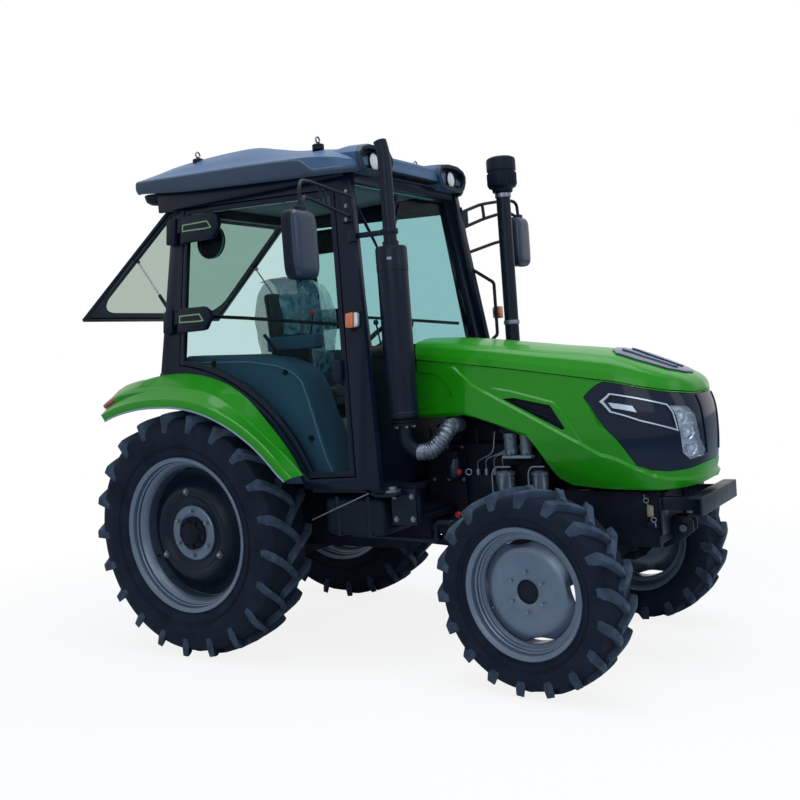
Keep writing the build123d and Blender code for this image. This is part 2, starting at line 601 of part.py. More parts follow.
def roof():
    """The roof moulding, the headliner under it, its lamps and lifting eyes."""
    stations = (
        # x, half width, lower edge, shoulder, top
        (-415, 640, 2828, 2905, 2942),
        (-380, 700, 2822, 2912, 2965),
        (0, 705, 2786, 2888, 3008),
        (480, 705, 2742, 2856, 3002),
        (770, 702, 2718, 2838, 2930),
        (1130, 690, 2710, 2790, 2872),
        (1215, 615, 2725, 2778, 2834),
    )
    sections = []
    for x, half, low, shoulder, top in stations:
        wire = Polyline((x, -half + 20, low), (x, -half, (low + shoulder) / 2), (x, -half + 25, shoulder),
                        (x, -half + 190, top), (x, half - 190, top), (x, half - 25, shoulder),
                        (x, half, (low + shoulder) / 2), (x, half - 20, low), close=True)
        sections.append(make_face(wire))
    shell = loft(sections, ruled=True)
    shell -= slab(-172, 1178, -612, 612, 2690, CAB_TOP_Z + 5)
    shell -= slab(-100, 1100, -560, 560, CAB_TOP_Z, CAB_TOP_Z + 60)
    pod_outline = [(215, 2800), (250, 2892), (500, 2902), (605, 2832), (575, 2750), (300, 2750)]
    pod = front_plate(pod_outline, 980, 1250)
    pod += front_plate([(225, 2790), (600, 2790), (560, LAMP_Z - 62), (300, LAMP_Z - 62)], 1180, 1250)
    for side in (LEFT, RIGHT):
        shell += to_side(pod, side)
    for side in (LEFT, RIGHT):
        shell -= rod((1205, side * LAMP_Y, LAMP_Z), (1300, side * LAMP_Y, LAMP_Z), LAMP_R + 4)
    save("roof", shell + lifting_eyes())
    save("headliner", slab(-140, 1160, -595, 595, CAB_TOP_Z + SEAT, CAB_TOP_Z + 5))
    return both_sides(rod((1205 + SEAT, LAMP_Y, LAMP_Z), (1232, LAMP_Y, LAMP_Z), LAMP_R))


def lifting_eyes():
    """Four eye bolts on the roof."""
    eyes = []
    for x, top in ((EYE_FRONT_X, 2921), (EYE_REAR_X, 3003)):
        ring = Pos(x, 528, top + 36) * Rot(0, 90, 0) * Torus(17, 5)
        stem = rod((x, 528, top - 20), (x, 528, top + 22), 7) + rod((x, 528, top - 20), (x, 528, top + 6), 24)
        eyes += both_sides(ring + stem)
    return eyes


def fenders(work_lamps):
    """Rear fenders: a curved top over the wheel with a turned-down outer edge."""
    inner = ((858, 1085), (613, 1366), (67, 1677), (-300, 1687), (-690, 1540))
    outer = ((862, 1112), (580, 1366), (67, 1545), (-230, 1551), (-600, 1470))

    def toward_axle(point, amount):
        dx, dz = point[0], point[1] - REAR_TYRE_R
        scale = 1 - amount / hypot(dx, dz)
        return dx * scale, REAR_TYRE_R + dz * scale

    def band(points, y, depth):
        low = [toward_axle(p, depth) for p in points]
        top_pts = [(x, y, z) for x, z in points]
        low_pts = [(x, y, z) for x, z in low]
        edges = [
            ThreePointArc(*top_pts[0:3]),
            ThreePointArc(*top_pts[2:5]),
            Line(top_pts[4], low_pts[4]),
            ThreePointArc(*low_pts[2:5][::-1]),
            ThreePointArc(*low_pts[0:3][::-1]),
            Line(low_pts[0], top_pts[0]),
        ]
        return make_face(Wire(edges))

    top = loft([band(inner, 742, 8), band(outer, 940, 8)], ruled=True)
    lip = extrude(band(outer, 940, 55), amount=10, dir=(0, 1, 0))
    fender = top + lip
    cab_block = Box(3000, 2400, 600, align=(Align.CENTER, Align.CENTER, Align.MIN))
    inside = SIDE_PLANE * (Pos(300, -300, -SEAT) * cab_block)
    fender -= inside
    lamp_box = slab(-720, -575, 800, 925, 1300, 1700)
    lamp = loft([band(inner, 742, 45), band(outer, 940, 45)], ruled=True) & lamp_box
    fender -= lamp_box
    turn_right = wall_panel(make_face(Pos(1205, up_wall(1912)) * Circle(32)), -45, 44.7)
    save("lamps", *work_lamps, *both_sides(lamp), mirror(turn_right, Plane.XZ),
         rod((1318, 760.3, 1946), (1318, 800, 1946), 32))
    for side, word in ((LEFT, "left"), (RIGHT, "right")):
        save(f"rear_fender_{word}", to_side(fender, side))


def hood():
    """The one-piece hood with its nose bezel, headlamps and top scoop."""
    stations = (
        # x, half width at the top edge, half width at the bottom, shoulder height, top height
        (1250, 330, 362, 1690, 1800),
        (1700, 335, 372, 1610, 1752),
        (2200, 333, 372, 1535, 1685),
        (2500, 325, 362, 1480, 1625),
        (2700, 296, 338, 1430, 1535),
        (2830, 240, 270, 1380, 1450),
        (HOOD_FRONT, 150, 180, 1330, 1370),
    )
    low = 935

    def form(wall):
        sections = []
        for x, top_half, low_half, shoulder, top in stations:
            x = x - wall if x == HOOD_FRONT else x
            x = x - 3 * wall if x == 1250 else x
            base = low if wall == 0 else low - 60
            a, b = top_half - wall, low_half - wall
            z, s = top - wall, shoulder - wall
            left = [(x, b, base), (x, b, s - 90), (x, a, s), (x, a * 0.62, (s + 2 * z) / 3)]
            right = [(px, -py, pz) for px, py, pz in left]
            wire = Polyline(*right, (x, 0, z), *reversed(left), close=True)
            sections.append(make_face(wire))
        return loft(sections, ruled=True)

    inner_form = form(HOOD_WALL)
    shell = form(0) - inner_form
    cut = [(1200, 900), (1200, 1349), (1652, 1361), (2088, 1220), (2239, 984), (2400, 935), (2400, 900)]
    shell -= side_plate(cut, -500, 500)
    shell -= side_plate([(1200, 1300), (1200, 1900), (HOOD_REAR - 20, 1900), (HOOD_REAR, 1800), (1362, 1300)],
                        -500, 500)
    shell -= side_plate([(1895, 1433), (2146, 1391), (2242, 1253)], -500, 500)
    mask = side_plate([(2337, 1413), (2433, 1480), (2752, 1434), (3000, 1400), (3000, 1042), (2637, 1053),
                       (2588, 1083)], -500, 500)
    lamp_mask = slab(2745, 2860, 150, 400, 1095, 1365)
    lamp_masks = both_sides(lamp_mask)
    nose = shell & mask
    lamps = [nose & one for one in lamp_masks]
    nose = nose - lamp_masks[0] - lamp_masks[1]
    shell = shell - mask
    scoop_plan = [(2420, -60), (2420, 60), (2480, 205), (2760, 120), (2790, 0), (2760, -120), (2480, -205)]
    scoop_mask = plan_plate(scoop_plan, 1440, 1800)
    scoop = shell & scoop_mask
    shell = shell - scoop_mask
    hx, hz = HOOD_HINGE
    lugs = []
    for side in (LEFT, RIGHT):
        y0, y1 = sorted((side * 24, side * 38))
        lug = side_plate([(hx - 14, hz - 14), (hx - 8, 1810), (hx + 60, 1810), (hx + 14, hz - 14)], y0, y1)
        lugs.append(lug - rod((hx, y0 - 2, hz), (hx, y1 + 2, hz), HOOD_PIN_R + 2 * PIN_PLAY) & inner_form)
    save("hood_hinges", *lugs)
    save("hood_shell", shell)
    save("nose_bezel", nose)
    save("headlamps", *lamps)
    save("hood_scoop", scoop)


def on_window(along, inward, angle):
    """Side-view place of a point given along the rear window and in from its pane."""
    hx, hz = WINDOW_HINGE
    turn = radians(angle)
    return hx - along * sin(turn) + inward * cos(turn), hz - along * cos(turn) - inward * sin(turn)


def strut_numbers():
    """The struts' rest direction, and how they follow the window between closed and open."""
    bx, bz = STRUT_BASE
    spans = []
    for angle in (WINDOW_CLOSED, WINDOW_OPEN):
        ex, ez = on_window(STRUT_EYE, STRUT_STUD, angle)
        spans.append((hypot(ex - bx, ez - bz), atan2(bx - ex, ez - bz), (ex - bx, 0, ez - bz)))
    (short, closed_tilt, _), (long, open_tilt, direction) = spans
    swing = radians(WINDOW_OPEN - WINDOW_CLOSED)
    return {"dir": direction, "tilt_ratio": -(open_tilt - closed_tilt) / swing,
            "slide_ratio": (long - short) / 1000 / swing}


def rear_window():
    """The glazed rear window, open at its top hinge, with its gas struts."""
    turn = radians(WINDOW_OPEN)
    plane = Plane(origin=(WINDOW_HINGE[0], 0, WINDOW_HINGE[1]), x_dir=(0, 1, 0),
                  z_dir=(cos(turn), 0, -sin(turn)))
    corners = ((575, -30), (652, -WINDOW_LENGTH))
    (yt, vt), (yb, vb) = corners
    face = make_face(Polyline((-yt, vt), (-yb, vb), (yb, vb), (yt, vt), close=True))
    outer = plane * (Pos(0, 0, -10) * extrude(face, amount=20))
    hole = plane * (Pos(0, 0, -20) * extrude(shrunk(face, 28), amount=40))
    pane = plane * (Pos(0, 0, -GLASS / 2) * extrude(shrunk(face, 28.2), amount=GLASS))
    frame = outer - hole
    hx, hz = WINDOW_HINGE
    for y in (-400, 400):
        foot = on_window(46, 0, WINDOW_OPEN)
        frame += rod((hx, y - 30, hz), (hx, y + 30, hz), 9) + rod((hx, y, hz), (foot[0], y, foot[1]), 8)
        frame -= rod((hx, y - 31, hz), (hx, y + 31, hz), 5 + PIN_PLAY)
    eye = on_window(STRUT_EYE, STRUT_STUD, WINDOW_OPEN)
    root = on_window(STRUT_EYE, 8, WINDOW_OPEN)
    for side in (LEFT, RIGHT):
        y = side * (STRUT_Y + 20)
        frame += rod((root[0], y, root[1]), (eye[0], y, eye[1]), 7)
        frame += rod((eye[0], y + side * 6, eye[1]), (eye[0], side * (STRUT_Y + 8 + SEAT), eye[1]), 5)
    save("rear_window_frame", frame)
    save("rear_window_glass", pane)
    bx, bz = STRUT_BASE
    ex, ez = eye
    length = hypot(ex - bx, ez - bz)
    ux, uz = (ex - bx) / length, (ez - bz) / length
    tubes, rods = [], []
    for y in (-STRUT_Y, STRUT_Y):
        barrel = rod((bx, y, bz), (bx + BARREL_LENGTH * ux, y, bz + BARREL_LENGTH * uz), 11)
        barrel += rod((bx, y - 14, bz), (bx, y + 14, bz), 14)
        barrel -= rod((bx, y - 15, bz), (bx, y + 15, bz), STRUT_PIN_R + PIN_PLAY)
        barrel -= rod((bx + 22 * ux, y, bz + 22 * uz), (bx + 320 * ux, y, bz + 320 * uz), PISTON_R + PIN_PLAY)
        tubes.append(barrel)
        piston = rod((ex - PISTON_LENGTH * ux, y, ez - PISTON_LENGTH * uz), (ex, y, ez), PISTON_R)
        piston += rod((ex, y - 8, ez), (ex, y + 8, ez), 11)
        rods.append(piston)
    save("window_strut_tubes", *tubes)
    save("window_strut_rods", *rods)


def interior():
    """Seat, dashboard, side consoles and steering wheel."""
    base = slab(200, 620, -170, 170, CAB_FLOOR_Z + 0.3, 1430)
    save("seat_base", base)
    cushion = slab(180, 700, -240, 240, 1430.3, 1540)
    back = side_plate([(185, 1540 + SEAT), (285, 1540 + SEAT), (225, 2180), (145, 2180)], -230, 230)
    save("seat_cushions", cushion, back)
    dash = side_plate([(1080, CAB_FLOOR_Z + 0.3), (1231.7, CAB_FLOOR_Z + 0.3), (1195, 1698), (1090, 1698),
                       (1040, 1600)], -190, 190)
    save("side_consoles", *both_sides(slab(-150, 640, 400, 549 - SEAT, 1480, 1690)))
    centre = Vector(*WHEEL_CENTRE)
    tilt = radians(COLUMN_TILT)
    axis = Vector(-sin(tilt), 0, cos(tilt))
    plane = Plane(origin=centre, z_dir=axis)
    wheel = plane * Torus(185, 14)
    hub = plane * (Pos(0, 0, -20) * Cylinder(42, 40))
    for turn in (90, 210, 330):
        spoke = plane * (Rot(0, 0, turn) * (Pos(100, 0, -4) * Box(160, 26, 10)))
        hub += spoke
    column_end = centre - axis * 220
    hub += rod(tuple(centre), tuple(column_end), 15)
    save("dashboard", dash - rod(tuple(centre), tuple(centre - axis * 222), 15 + PIN_PLAY))
    save("steering_wheel", wheel + hub)


def hitch():
    """Three-point linkage, drawbar and power take-off."""
    px, pz = ARM_PIVOT
    back = GEARBOX_REAR - 0.2
    case = [(back, 770), (back, 1010), (-400, 1010), (-430, 980), (-430, 790), (-410, 770)]
    housing = side_plate(case, -150, 150)
    housing -= rod((px, -160, pz), (px, 160, pz), ROCK_SHAFT_R + PIN_PLAY)
    ax, az = ARM_END
    arms = rod((px, -262, pz), (px, 262, pz), ROCK_SHAFT_R)
    for side in (LEFT, RIGHT):
        y0, y1 = sorted((side * 226, side * 256))
        arms += rod((px, y0, pz), (px, y1, pz), 52) + rod((ax, y0, az), (ax, y1, az), 34)
        bar = side_plate([(px, pz - 40), (px, pz + 40), (ax, az + 24), (ax, az - 24)], y0, y1)
        arms += bar + rod((ax, side * 226, az), (ax, side * 300, az), LIFT_PIN_R)
    save("lift_arms", arms)
    lx, lz = LOWER_PIVOT
    bx, bz = LOWER_BALL
    links, lifters = [], []
    for side in (LEFT, RIGHT):
        y_in, y_out = side * 260, side * LOWER_BALL_Y
        eye = rod((lx, side * 234, lz), (lx, side * 284, lz), 36)
        ball = rod((bx, y_out - 24, bz), (bx, y_out + 24, bz), 36)
        bar = loft([front_face(lx - 20, y_in, lz, 24, 64), front_face(bx + 20, y_out, bz, 24, 64)])
        link = eye + ball + bar
        link -= rod((lx, side * 200, lz), (lx, side * 300, lz), LINK_PIN_R + PIN_PLAY)
        link -= rod((bx, y_out - 40, bz), (bx, y_out + 40, bz), LOWER_BALL_R)
        share = (lx - LIFT_POINT[0]) / (lx - bx)
        y_link = y_in + (y_out - y_in) * share
        stud_x, stud_z = LIFT_POINT
        link += rod((stud_x, y_link - side * (25 - SEAT), stud_z), (stud_x, y_link, stud_z), LIFT_PIN_R)
        links.append(link)
        top = (ax, side * 281, az)
        low = (stud_x, y_link - side * (25 + LIFT_EYE_HALF), stud_z)
        lifter = rod(top, low, 15)
        for x, y, z in (top, low):
            lifter += rod((x, y - LIFT_EYE_HALF, z), (x, y + LIFT_EYE_HALF, z), 26)
        lifter -= rod((top[0], top[1] - 20, top[2]), (top[0], top[1] + 20, top[2]), LIFT_PIN_R + PIN_PLAY)
        lifters.append(lifter)
    save("lower_links", *links)
    save("lift_rods", *lifters)
    ears = []
    tx, tz = TOP_LINK
    ear_outline = [(-425, 800), (-425, 920), (-470, 920), (-500, 880), (-500, 830), (-470, 800)]
    for side in (LEFT, RIGHT):
        y0, y1 = sorted((side * 28, side * 46))
        ear = side_plate(ear_outline, y0, y1)
        ears.append(ear - rod((tx, y0 - 5, tz), (tx, y1 + 5, tz), TOP_LINK_R))
    save("rocker_housing", housing + ears)
    shaft = rod((GEARBOX_REAR + 85, 0, PTO_Z), (GEARBOX_REAR, 0, PTO_Z), PTO_BEARING_R)
    shaft += rod((GEARBOX_REAR, 0, PTO_Z), (GEARBOX_REAR - 100, 0, PTO_Z), PTO_R)
    save("pto_shaft", shaft)
    guard = slab(-450, back, -112, 112, 700, 745) - slab(-460, -300, -107, 107, 699, 740)
    guard += slab(-450, back, 107, 112, 610, 700) + slab(-450, back, -112, -107, 610, 700)
    guard += slab(-380, back, -112, -100, 430, 620) + slab(-380, back, 100, 112, 430, 620)
    bar = slab(-560, -120, -45, 45, 398, 430) - rod((-520, 0, 390), (-520, 0, 440), DRAWBAR_PIN_R)
    save("drawbar_frame", bar + slab(-380, -140, -112, 112, 430, 469.8) + guard)


def front_face(x, y, z, width, height):
    """An upright rectangle across the machine, as a section of a bar."""
    y0, y1, z0, z1 = y - width / 2, y + width / 2, z - height / 2, z + height / 2
    return make_face(Polyline((x, y0, z0), (x, y1, z0), (x, y1, z1), (x, y0, z1), close=True))


def cab_fittings():
    """Mirrors on their arms; the left one hangs higher than the right one."""
    mirrors = []
    for side, low, high, reach in ((RIGHT, 2100, 2440, 2590), (LEFT, 2270, 2610, 2690)):
        head = slab(1262, 1340, MIRROR_Y - 105, MIRROR_Y + 105, low, high)
        head = fillet(head.edges(), 24)
        root = wall_panel(make_face(Pos(1150, up_wall(2570)) * Rectangle(50, 150)), -8.3, 8)
        arm = tube([(1150, 630, 2620), (1300, MIRROR_Y - 20, reach), (1300, MIRROR_Y, high - 1)], 9, 22)
        brace = rod((1150, 636, 2520), (1285, MIRROR_Y - 70, reach - 14), 7)
        mirrors.append(to_side(head + root + arm + brace, side))
    save("mirrors", *mirrors)


wheel_parts()
driveline()
front_end()
knuckles()
low_parts()
stacks()
cab_shell()
doors()
fenders(roof())
hood()
rear_window()
interior()
hitch()
cab_fittings()

os.makedirs("parts", exist_ok=True)
for name, shape in nodes.items():
    export_step(shape, f"parts/{name}.step")
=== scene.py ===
import bmesh
import bpy
import math
from mathutils import Matrix, Vector, noise
from mathutils.bvhtree import BVHTree


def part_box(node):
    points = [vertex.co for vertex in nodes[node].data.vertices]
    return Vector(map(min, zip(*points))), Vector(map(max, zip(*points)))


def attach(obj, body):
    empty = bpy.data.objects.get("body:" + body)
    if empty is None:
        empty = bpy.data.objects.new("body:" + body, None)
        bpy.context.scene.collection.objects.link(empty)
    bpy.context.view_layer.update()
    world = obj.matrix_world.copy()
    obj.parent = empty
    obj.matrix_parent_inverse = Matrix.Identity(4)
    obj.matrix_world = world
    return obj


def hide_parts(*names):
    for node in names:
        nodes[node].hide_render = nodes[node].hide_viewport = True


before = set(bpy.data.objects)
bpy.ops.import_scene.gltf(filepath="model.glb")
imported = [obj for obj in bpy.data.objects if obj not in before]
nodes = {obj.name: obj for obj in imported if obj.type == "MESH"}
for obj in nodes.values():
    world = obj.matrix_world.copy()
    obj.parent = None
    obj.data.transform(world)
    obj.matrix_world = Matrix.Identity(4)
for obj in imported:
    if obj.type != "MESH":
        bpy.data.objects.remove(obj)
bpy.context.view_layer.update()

sideSign = {"left": 1, "right": -1}


def middle(node):
    low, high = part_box(node)
    return [(a + b) / 2 for a, b in zip(low, high)]


# Sizes below are metres, with x counted from the rear axle; settle() moves each piece into the frame.
axleX = middle("tyre_rear_left")[0]
toFrame = Matrix.Translation((axleX, 0, 0))
rearWheel = dict(x=0.0, y=0.766, z=0.738, tyreR=0.738, tyreW=0.340, flangeR=0.465, rimW=0.290,
                 lugs=21, lugDepth=0.034, lugTop=0.038, nose=-0.036, sweep=0.168, phase=10.0)
frontWheel = dict(x=2.188, y=0.745, z=0.508, tyreR=0.508, tyreW=0.250, flangeR=0.328, rimW=0.206,
                  lugs=18, lugDepth=0.030, lugTop=0.043, nose=-0.026, sweep=0.124, phase=3.0)
steering = dict(angle=-6.5, kingpinY=0.575)
print("frame loaded")


def newGroup(name, inputs, outputs):
    tree = bpy.data.node_groups.new(name, "ShaderNodeTree")
    for label, kind, value in inputs:
        socket = tree.interface.new_socket(label, in_out="INPUT", socket_type=kind)
        socket.default_value = value
    for label, kind in outputs:
        tree.interface.new_socket(label, in_out="OUTPUT", socket_type=kind)
    return tree, tree.nodes.new("NodeGroupInput"), tree.nodes.new("NodeGroupOutput")


def addNode(tree, kind, links=None, **settings):
    node = tree.nodes.new(kind)
    for key, value in settings.items():
        setattr(node, key, value)
    for socket, value in (links or {}).items():
        target = node.inputs[socket]
        if isinstance(value, bpy.types.NodeSocket):
            tree.links.new(value, target)
        else:
            target.default_value = value
    return node


def mottleGroup():
    # two sizes of noise mixed, for colour and roughness that are never quite even
    tree, ins, outs = newGroup("mottle", [("Scale", "NodeSocketFloat", 5.0),
                                          ("Contrast", "NodeSocketFloat", 0.3)],
                               [("Value", "NodeSocketFloat")])
    place = addNode(tree, "ShaderNodeTexCoord").outputs["Object"]
    big = addNode(tree, "ShaderNodeTexNoise", {"Vector": place, "Scale": ins.outputs["Scale"], "Detail": 4.0})
    finer = addNode(tree, "ShaderNodeMath", {0: ins.outputs["Scale"], 1: 14.0}, operation="MULTIPLY")
    small = addNode(tree, "ShaderNodeTexNoise", {"Vector": place, "Scale": finer.outputs[0], "Detail": 3.0})
    both = addNode(tree, "ShaderNodeMath", {0: small.outputs["Fac"], 1: 0.35, 2: big.outputs["Fac"]},
                   operation="MULTIPLY_ADD")
    centred = addNode(tree, "ShaderNodeMath", {0: both.outputs[0], 1: -0.675}, operation="ADD")
    spread = addNode(tree, "ShaderNodeMath", {0: ins.outputs["Contrast"], 1: 4.0}, operation="MULTIPLY")
    value = addNode(tree, "ShaderNodeMath", {0: centred.outputs[0], 1: spread.outputs[0], 2: 0.5},
                    operation="MULTIPLY_ADD", use_clamp=True)
    tree.links.new(value.outputs[0], outs.inputs["Value"])
    return tree


def dustGroup():
    # dry dust that thickens towards the ground and gathers in patches
    tree, ins, outs = newGroup("dust", [("Amount", "NodeSocketFloat", 0.3),
                                        ("Height", "NodeSocketFloat", 1.0)],
                               [("Mask", "NodeSocketFloat")])
    place = addNode(tree, "ShaderNodeTexCoord").outputs["Object"]
    split = addNode(tree, "ShaderNodeSeparateXYZ", {"Vector": place})
    fade = addNode(tree, "ShaderNodeMapRange", {"Value": split.outputs["Z"], "From Min": 0.0,
                                                "From Max": ins.outputs["Height"], "To Min": 1.0,
                                                "To Max": 0.15})
    cloud = addNode(tree, "ShaderNodeTexNoise",
                    {"Vector": place, "Scale": 9.0, "Detail": 7.0, "Roughness": 0.65})
    patch = addNode(tree, "ShaderNodeMapRange",
                    {"Value": cloud.outputs["Fac"], "From Min": 0.42, "From Max": 0.72})
    both = addNode(tree, "ShaderNodeMath", {0: fade.outputs[0], 1: patch.outputs[0]}, operation="MULTIPLY")
    mask = addNode(tree, "ShaderNodeMath", {0: both.outputs[0], 1: ins.outputs["Amount"]},
                   operation="MULTIPLY", use_clamp=True)
    tree.links.new(mask.outputs[0], outs.inputs["Mask"])
    return tree


mottle = mottleGroup()
dust = dustGroup()
dustColor = (0.055, 0.064, 0.078, 1)


def finishMaterial(name, color, shade, rough, scale=5.0, contrast=0.3, bump=0.05, grain=400.0,
                   dusty=0.15, dustTop=1.2, metal=0.0, coat=0.0, coatRough=0.05, sheen=0.0, specular=0.5,
                   alpha=None, transmission=0.0, ior=1.45):
    material = bpy.data.materials.new(name)
    material.use_nodes = True
    tree = material.node_tree
    shader = tree.nodes["Principled BSDF"]
    uneven = addNode(tree, "ShaderNodeGroup", node_tree=mottle)
    uneven.inputs["Scale"].default_value = scale
    uneven.inputs["Contrast"].default_value = contrast
    tint = addNode(tree, "ShaderNodeMix", {"Factor": uneven.outputs["Value"]}, data_type="RGBA")
    tint.inputs["A"].default_value = (*shade, 1)
    tint.inputs["B"].default_value = (*color, 1)
    dirt = addNode(tree, "ShaderNodeGroup", node_tree=dust)
    dirt.inputs["Amount"].default_value = dusty
    dirt.inputs["Height"].default_value = dustTop
    base = addNode(tree, "ShaderNodeMix", {"Factor": dirt.outputs["Mask"], "A": tint.outputs["Result"]},
                   data_type="RGBA")
    base.inputs["B"].default_value = dustColor
    tree.links.new(base.outputs["Result"], shader.inputs["Base Color"])
    gloss = addNode(tree, "ShaderNodeMapRange", {"Value": uneven.outputs["Value"], "To Min": rough * 1.2,
                                                 "To Max": rough * 0.85})
    dull = addNode(tree, "ShaderNodeMath", {0: dirt.outputs["Mask"], 1: 0.45, 2: gloss.outputs[0]},
                   operation="MULTIPLY_ADD", use_clamp=True)
    tree.links.new(dull.outputs[0], shader.inputs["Roughness"])
    if bump:
        place = addNode(tree, "ShaderNodeTexCoord").outputs["Object"]
        skin = addNode(tree, "ShaderNodeTexNoise", {"Vector": place, "Scale": grain, "Detail": 2.0})
        relief = addNode(tree, "ShaderNodeBump", {"Height": skin.outputs["Fac"], "Strength": bump,
                                                  "Distance": 0.002})
        tree.links.new(relief.outputs["Normal"], shader.inputs["Normal"])
    values = {"Metallic": metal, "Coat Weight": coat, "Coat Roughness": coatRough, "Sheen Weight": sheen,
              "Specular IOR Level": specular, "IOR": ior, "Transmission Weight": transmission}
    for socket, value in values.items():
        shader.inputs[socket].default_value = value
    if alpha is not None:
        shader.inputs["Alpha"].default_value = alpha
    return material


greenPaint = finishMaterial("greenPaint", (0.013, 0.250, 0.005), (0.010, 0.215, 0.004), 0.34, scale=2.0,
                            bump=0.03, grain=900, dusty=0.04, coat=0.25, coatRough=0.06, specular=0.16)
blackPaint = finishMaterial("blackPaint", (0.004, 0.010, 0.023), (0.003, 0.007, 0.016), 0.38, scale=6.0,
                            bump=0.06, grain=500, dusty=0.12, coat=0.05, coatRough=0.15, specular=0.14)
cabBlack = finishMaterial("cabBlack", (0.003, 0.008, 0.022), (0.002, 0.006, 0.016), 0.32, scale=4.0,
                          bump=0.04, grain=700, dusty=0.04, coat=0.05, coatRough=0.10, specular=0.14)
castBlack = finishMaterial("castBlack", (0.005, 0.009, 0.017), (0.003, 0.005, 0.010), 0.55, scale=9.0,
                           contrast=0.5, bump=0.35, grain=160, dusty=0.12, specular=0.12)
# silver paint darkened and tinted blue towards how the rims look in shade: partly painted shade
rimSilver = finishMaterial("rimSilver", (0.115, 0.155, 0.215), (0.080, 0.112, 0.165), 0.36, scale=7.0,
                           bump=0.05, grain=700, dusty=0.25, metal=0.45, coat=0.2, coatRough=0.2)
zinc = finishMaterial("zinc", (0.210, 0.240, 0.280), (0.140, 0.160, 0.195), 0.35, scale=18.0, contrast=0.5,
                      bump=0.05, dusty=0.15, metal=0.9)
bareSteel = finishMaterial("bareSteel", (0.30, 0.31, 0.33), (0.22, 0.23, 0.25), 0.30, scale=14.0,
                           bump=0.05, dusty=0.10, metal=0.95)
rubberTyre = finishMaterial("rubberTyre", (0.011, 0.016, 0.029), (0.007, 0.010, 0.019), 0.72, scale=8.0,
                            contrast=0.5, bump=0.18, grain=260, dusty=0.1, specular=0.1)
# the carcass rubber made lighter for the tread bars: painted light on the lit lug tops
lugRubber = finishMaterial("lugRubber", (0.046, 0.070, 0.112), (0.022, 0.034, 0.056), 0.62, scale=16.0,
                           contrast=0.7, bump=0.22, grain=220, dusty=0.20, specular=0.15)
# dark blue-grey plastic given extra blue: partly painted sky reflection
roofPlastic = finishMaterial("roofPlastic", (0.060, 0.120, 0.225), (0.050, 0.100, 0.190), 0.42, scale=3.0,
                             bump=0.06, grain=600, dusty=0.05, dustTop=4.0, coat=0.1, coatRough=0.2,
                             specular=0.2)
blackPlastic = finishMaterial("blackPlastic", (0.005, 0.010, 0.021), (0.003, 0.007, 0.015), 0.45, scale=8.0,
                              bump=0.12, grain=500, dusty=0.08, specular=0.14)
glossBlack = finishMaterial("glossBlack", (0.004, 0.012, 0.032), (0.003, 0.009, 0.025), 0.14, scale=3.0,
                            bump=0.0, dusty=0.02, coat=0.15, coatRough=0.03, specular=0.12)
cabGrey = finishMaterial("cabGrey", (0.040, 0.085, 0.155), (0.032, 0.070, 0.130), 0.55, scale=6.0,
                         bump=0.06, grain=420, dusty=0.03, specular=0.2)
headCloth = finishMaterial("headCloth", (0.10, 0.11, 0.12), (0.085, 0.093, 0.10), 0.85, scale=9.0,
                           bump=0.30, grain=700, dusty=0.0, sheen=0.3)
seatCloth = finishMaterial("seatCloth", (0.030, 0.042, 0.055), (0.020, 0.028, 0.038), 0.85, scale=22.0,
                           contrast=0.5, bump=0.40, grain=520, dusty=0.0, sheen=0.4)
lampClear = finishMaterial("lampClear", (0.55, 0.60, 0.66), (0.42, 0.48, 0.55), 0.16, scale=12.0,
                           bump=0.15, grain=90, dusty=0.02, metal=0.35, coat=0.9, coatRough=0.03)
lampRed = finishMaterial("lampRed", (0.32, 0.012, 0.012), (0.22, 0.008, 0.010), 0.18, scale=10.0,
                         bump=0.25, grain=160, dusty=0.04, coat=0.8)
lampAmber = finishMaterial("lampAmber", (0.62, 0.13, 0.02), (0.50, 0.09, 0.015), 0.18, scale=10.0,
                           bump=0.25, grain=160, dusty=0.02, coat=0.8)
drlSilver = finishMaterial("drlSilver", (0.42, 0.50, 0.62), (0.34, 0.41, 0.52), 0.24, scale=10.0, bump=0.0,
                           dusty=0.0, metal=0.6, coat=0.6)
chrome = finishMaterial("chrome", (0.62, 0.70, 0.80), (0.45, 0.52, 0.62), 0.10, scale=30.0, contrast=0.6,
                        bump=0.10,
                        grain=60, dusty=0.0, metal=1.0)


def glassMaterial(name, color):
    # tinted panes that colour what is seen through them
    return finishMaterial(name, color, [c * 0.96 for c in color], 0.0, scale=1.5, contrast=0.15, bump=0.0,
                          dusty=0.0, transmission=1.0, ior=1.08, specular=0.8)


doorGlass = glassMaterial("doorGlass", (0.50, 0.70, 0.68))
screenGlass = glassMaterial("screenGlass", (0.48, 0.70, 0.75))
rearGlass = glassMaterial("rearGlass", (0.42, 0.50, 0.44))
clearLens = finishMaterial("clearLens", (0.40, 0.50, 0.62), (0.36, 0.45, 0.56), 0.02, scale=1.5,
                           contrast=0.15,
                           bump=0.0, dusty=0.0, alpha=0.22, coat=1.0, coatRough=0.01)
print("materials ready")


def linked(name, data):
    thing = bpy.data.objects.new(name, data)
    bpy.context.scene.collection.objects.link(thing)
    return thing


def bandFaces(rows, count):
    # four-sided faces joining rings of equal point counts in turn
    faces = []
    for i in range(rows - 1):
        for k in range(count):
            m = (k + 1) % count
            faces.append((i * count + k, i * count + m, (i + 1) * count + m, (i + 1) * count + k))
    return faces


def frameFaces(count):
    # a flat ring from four outlines: outer and inner on one side, then outer and inner on the other
    faces = []
    for i in range(count):
        j = (i + 1) % count
        for a, b in ((0, 1), (1, 3), (3, 2), (2, 0)):
            faces.append((a * count + i, a * count + j, b * count + j, b * count + i))
    return faces


def ringProfile(radius, thick, count=10):
    # the round section of a ring, for turning about a line
    turns = [a * math.pi / (count / 2) for a in range(count)]
    return [(radius + thick * math.cos(turn), thick * math.sin(turn)) for turn in turns]


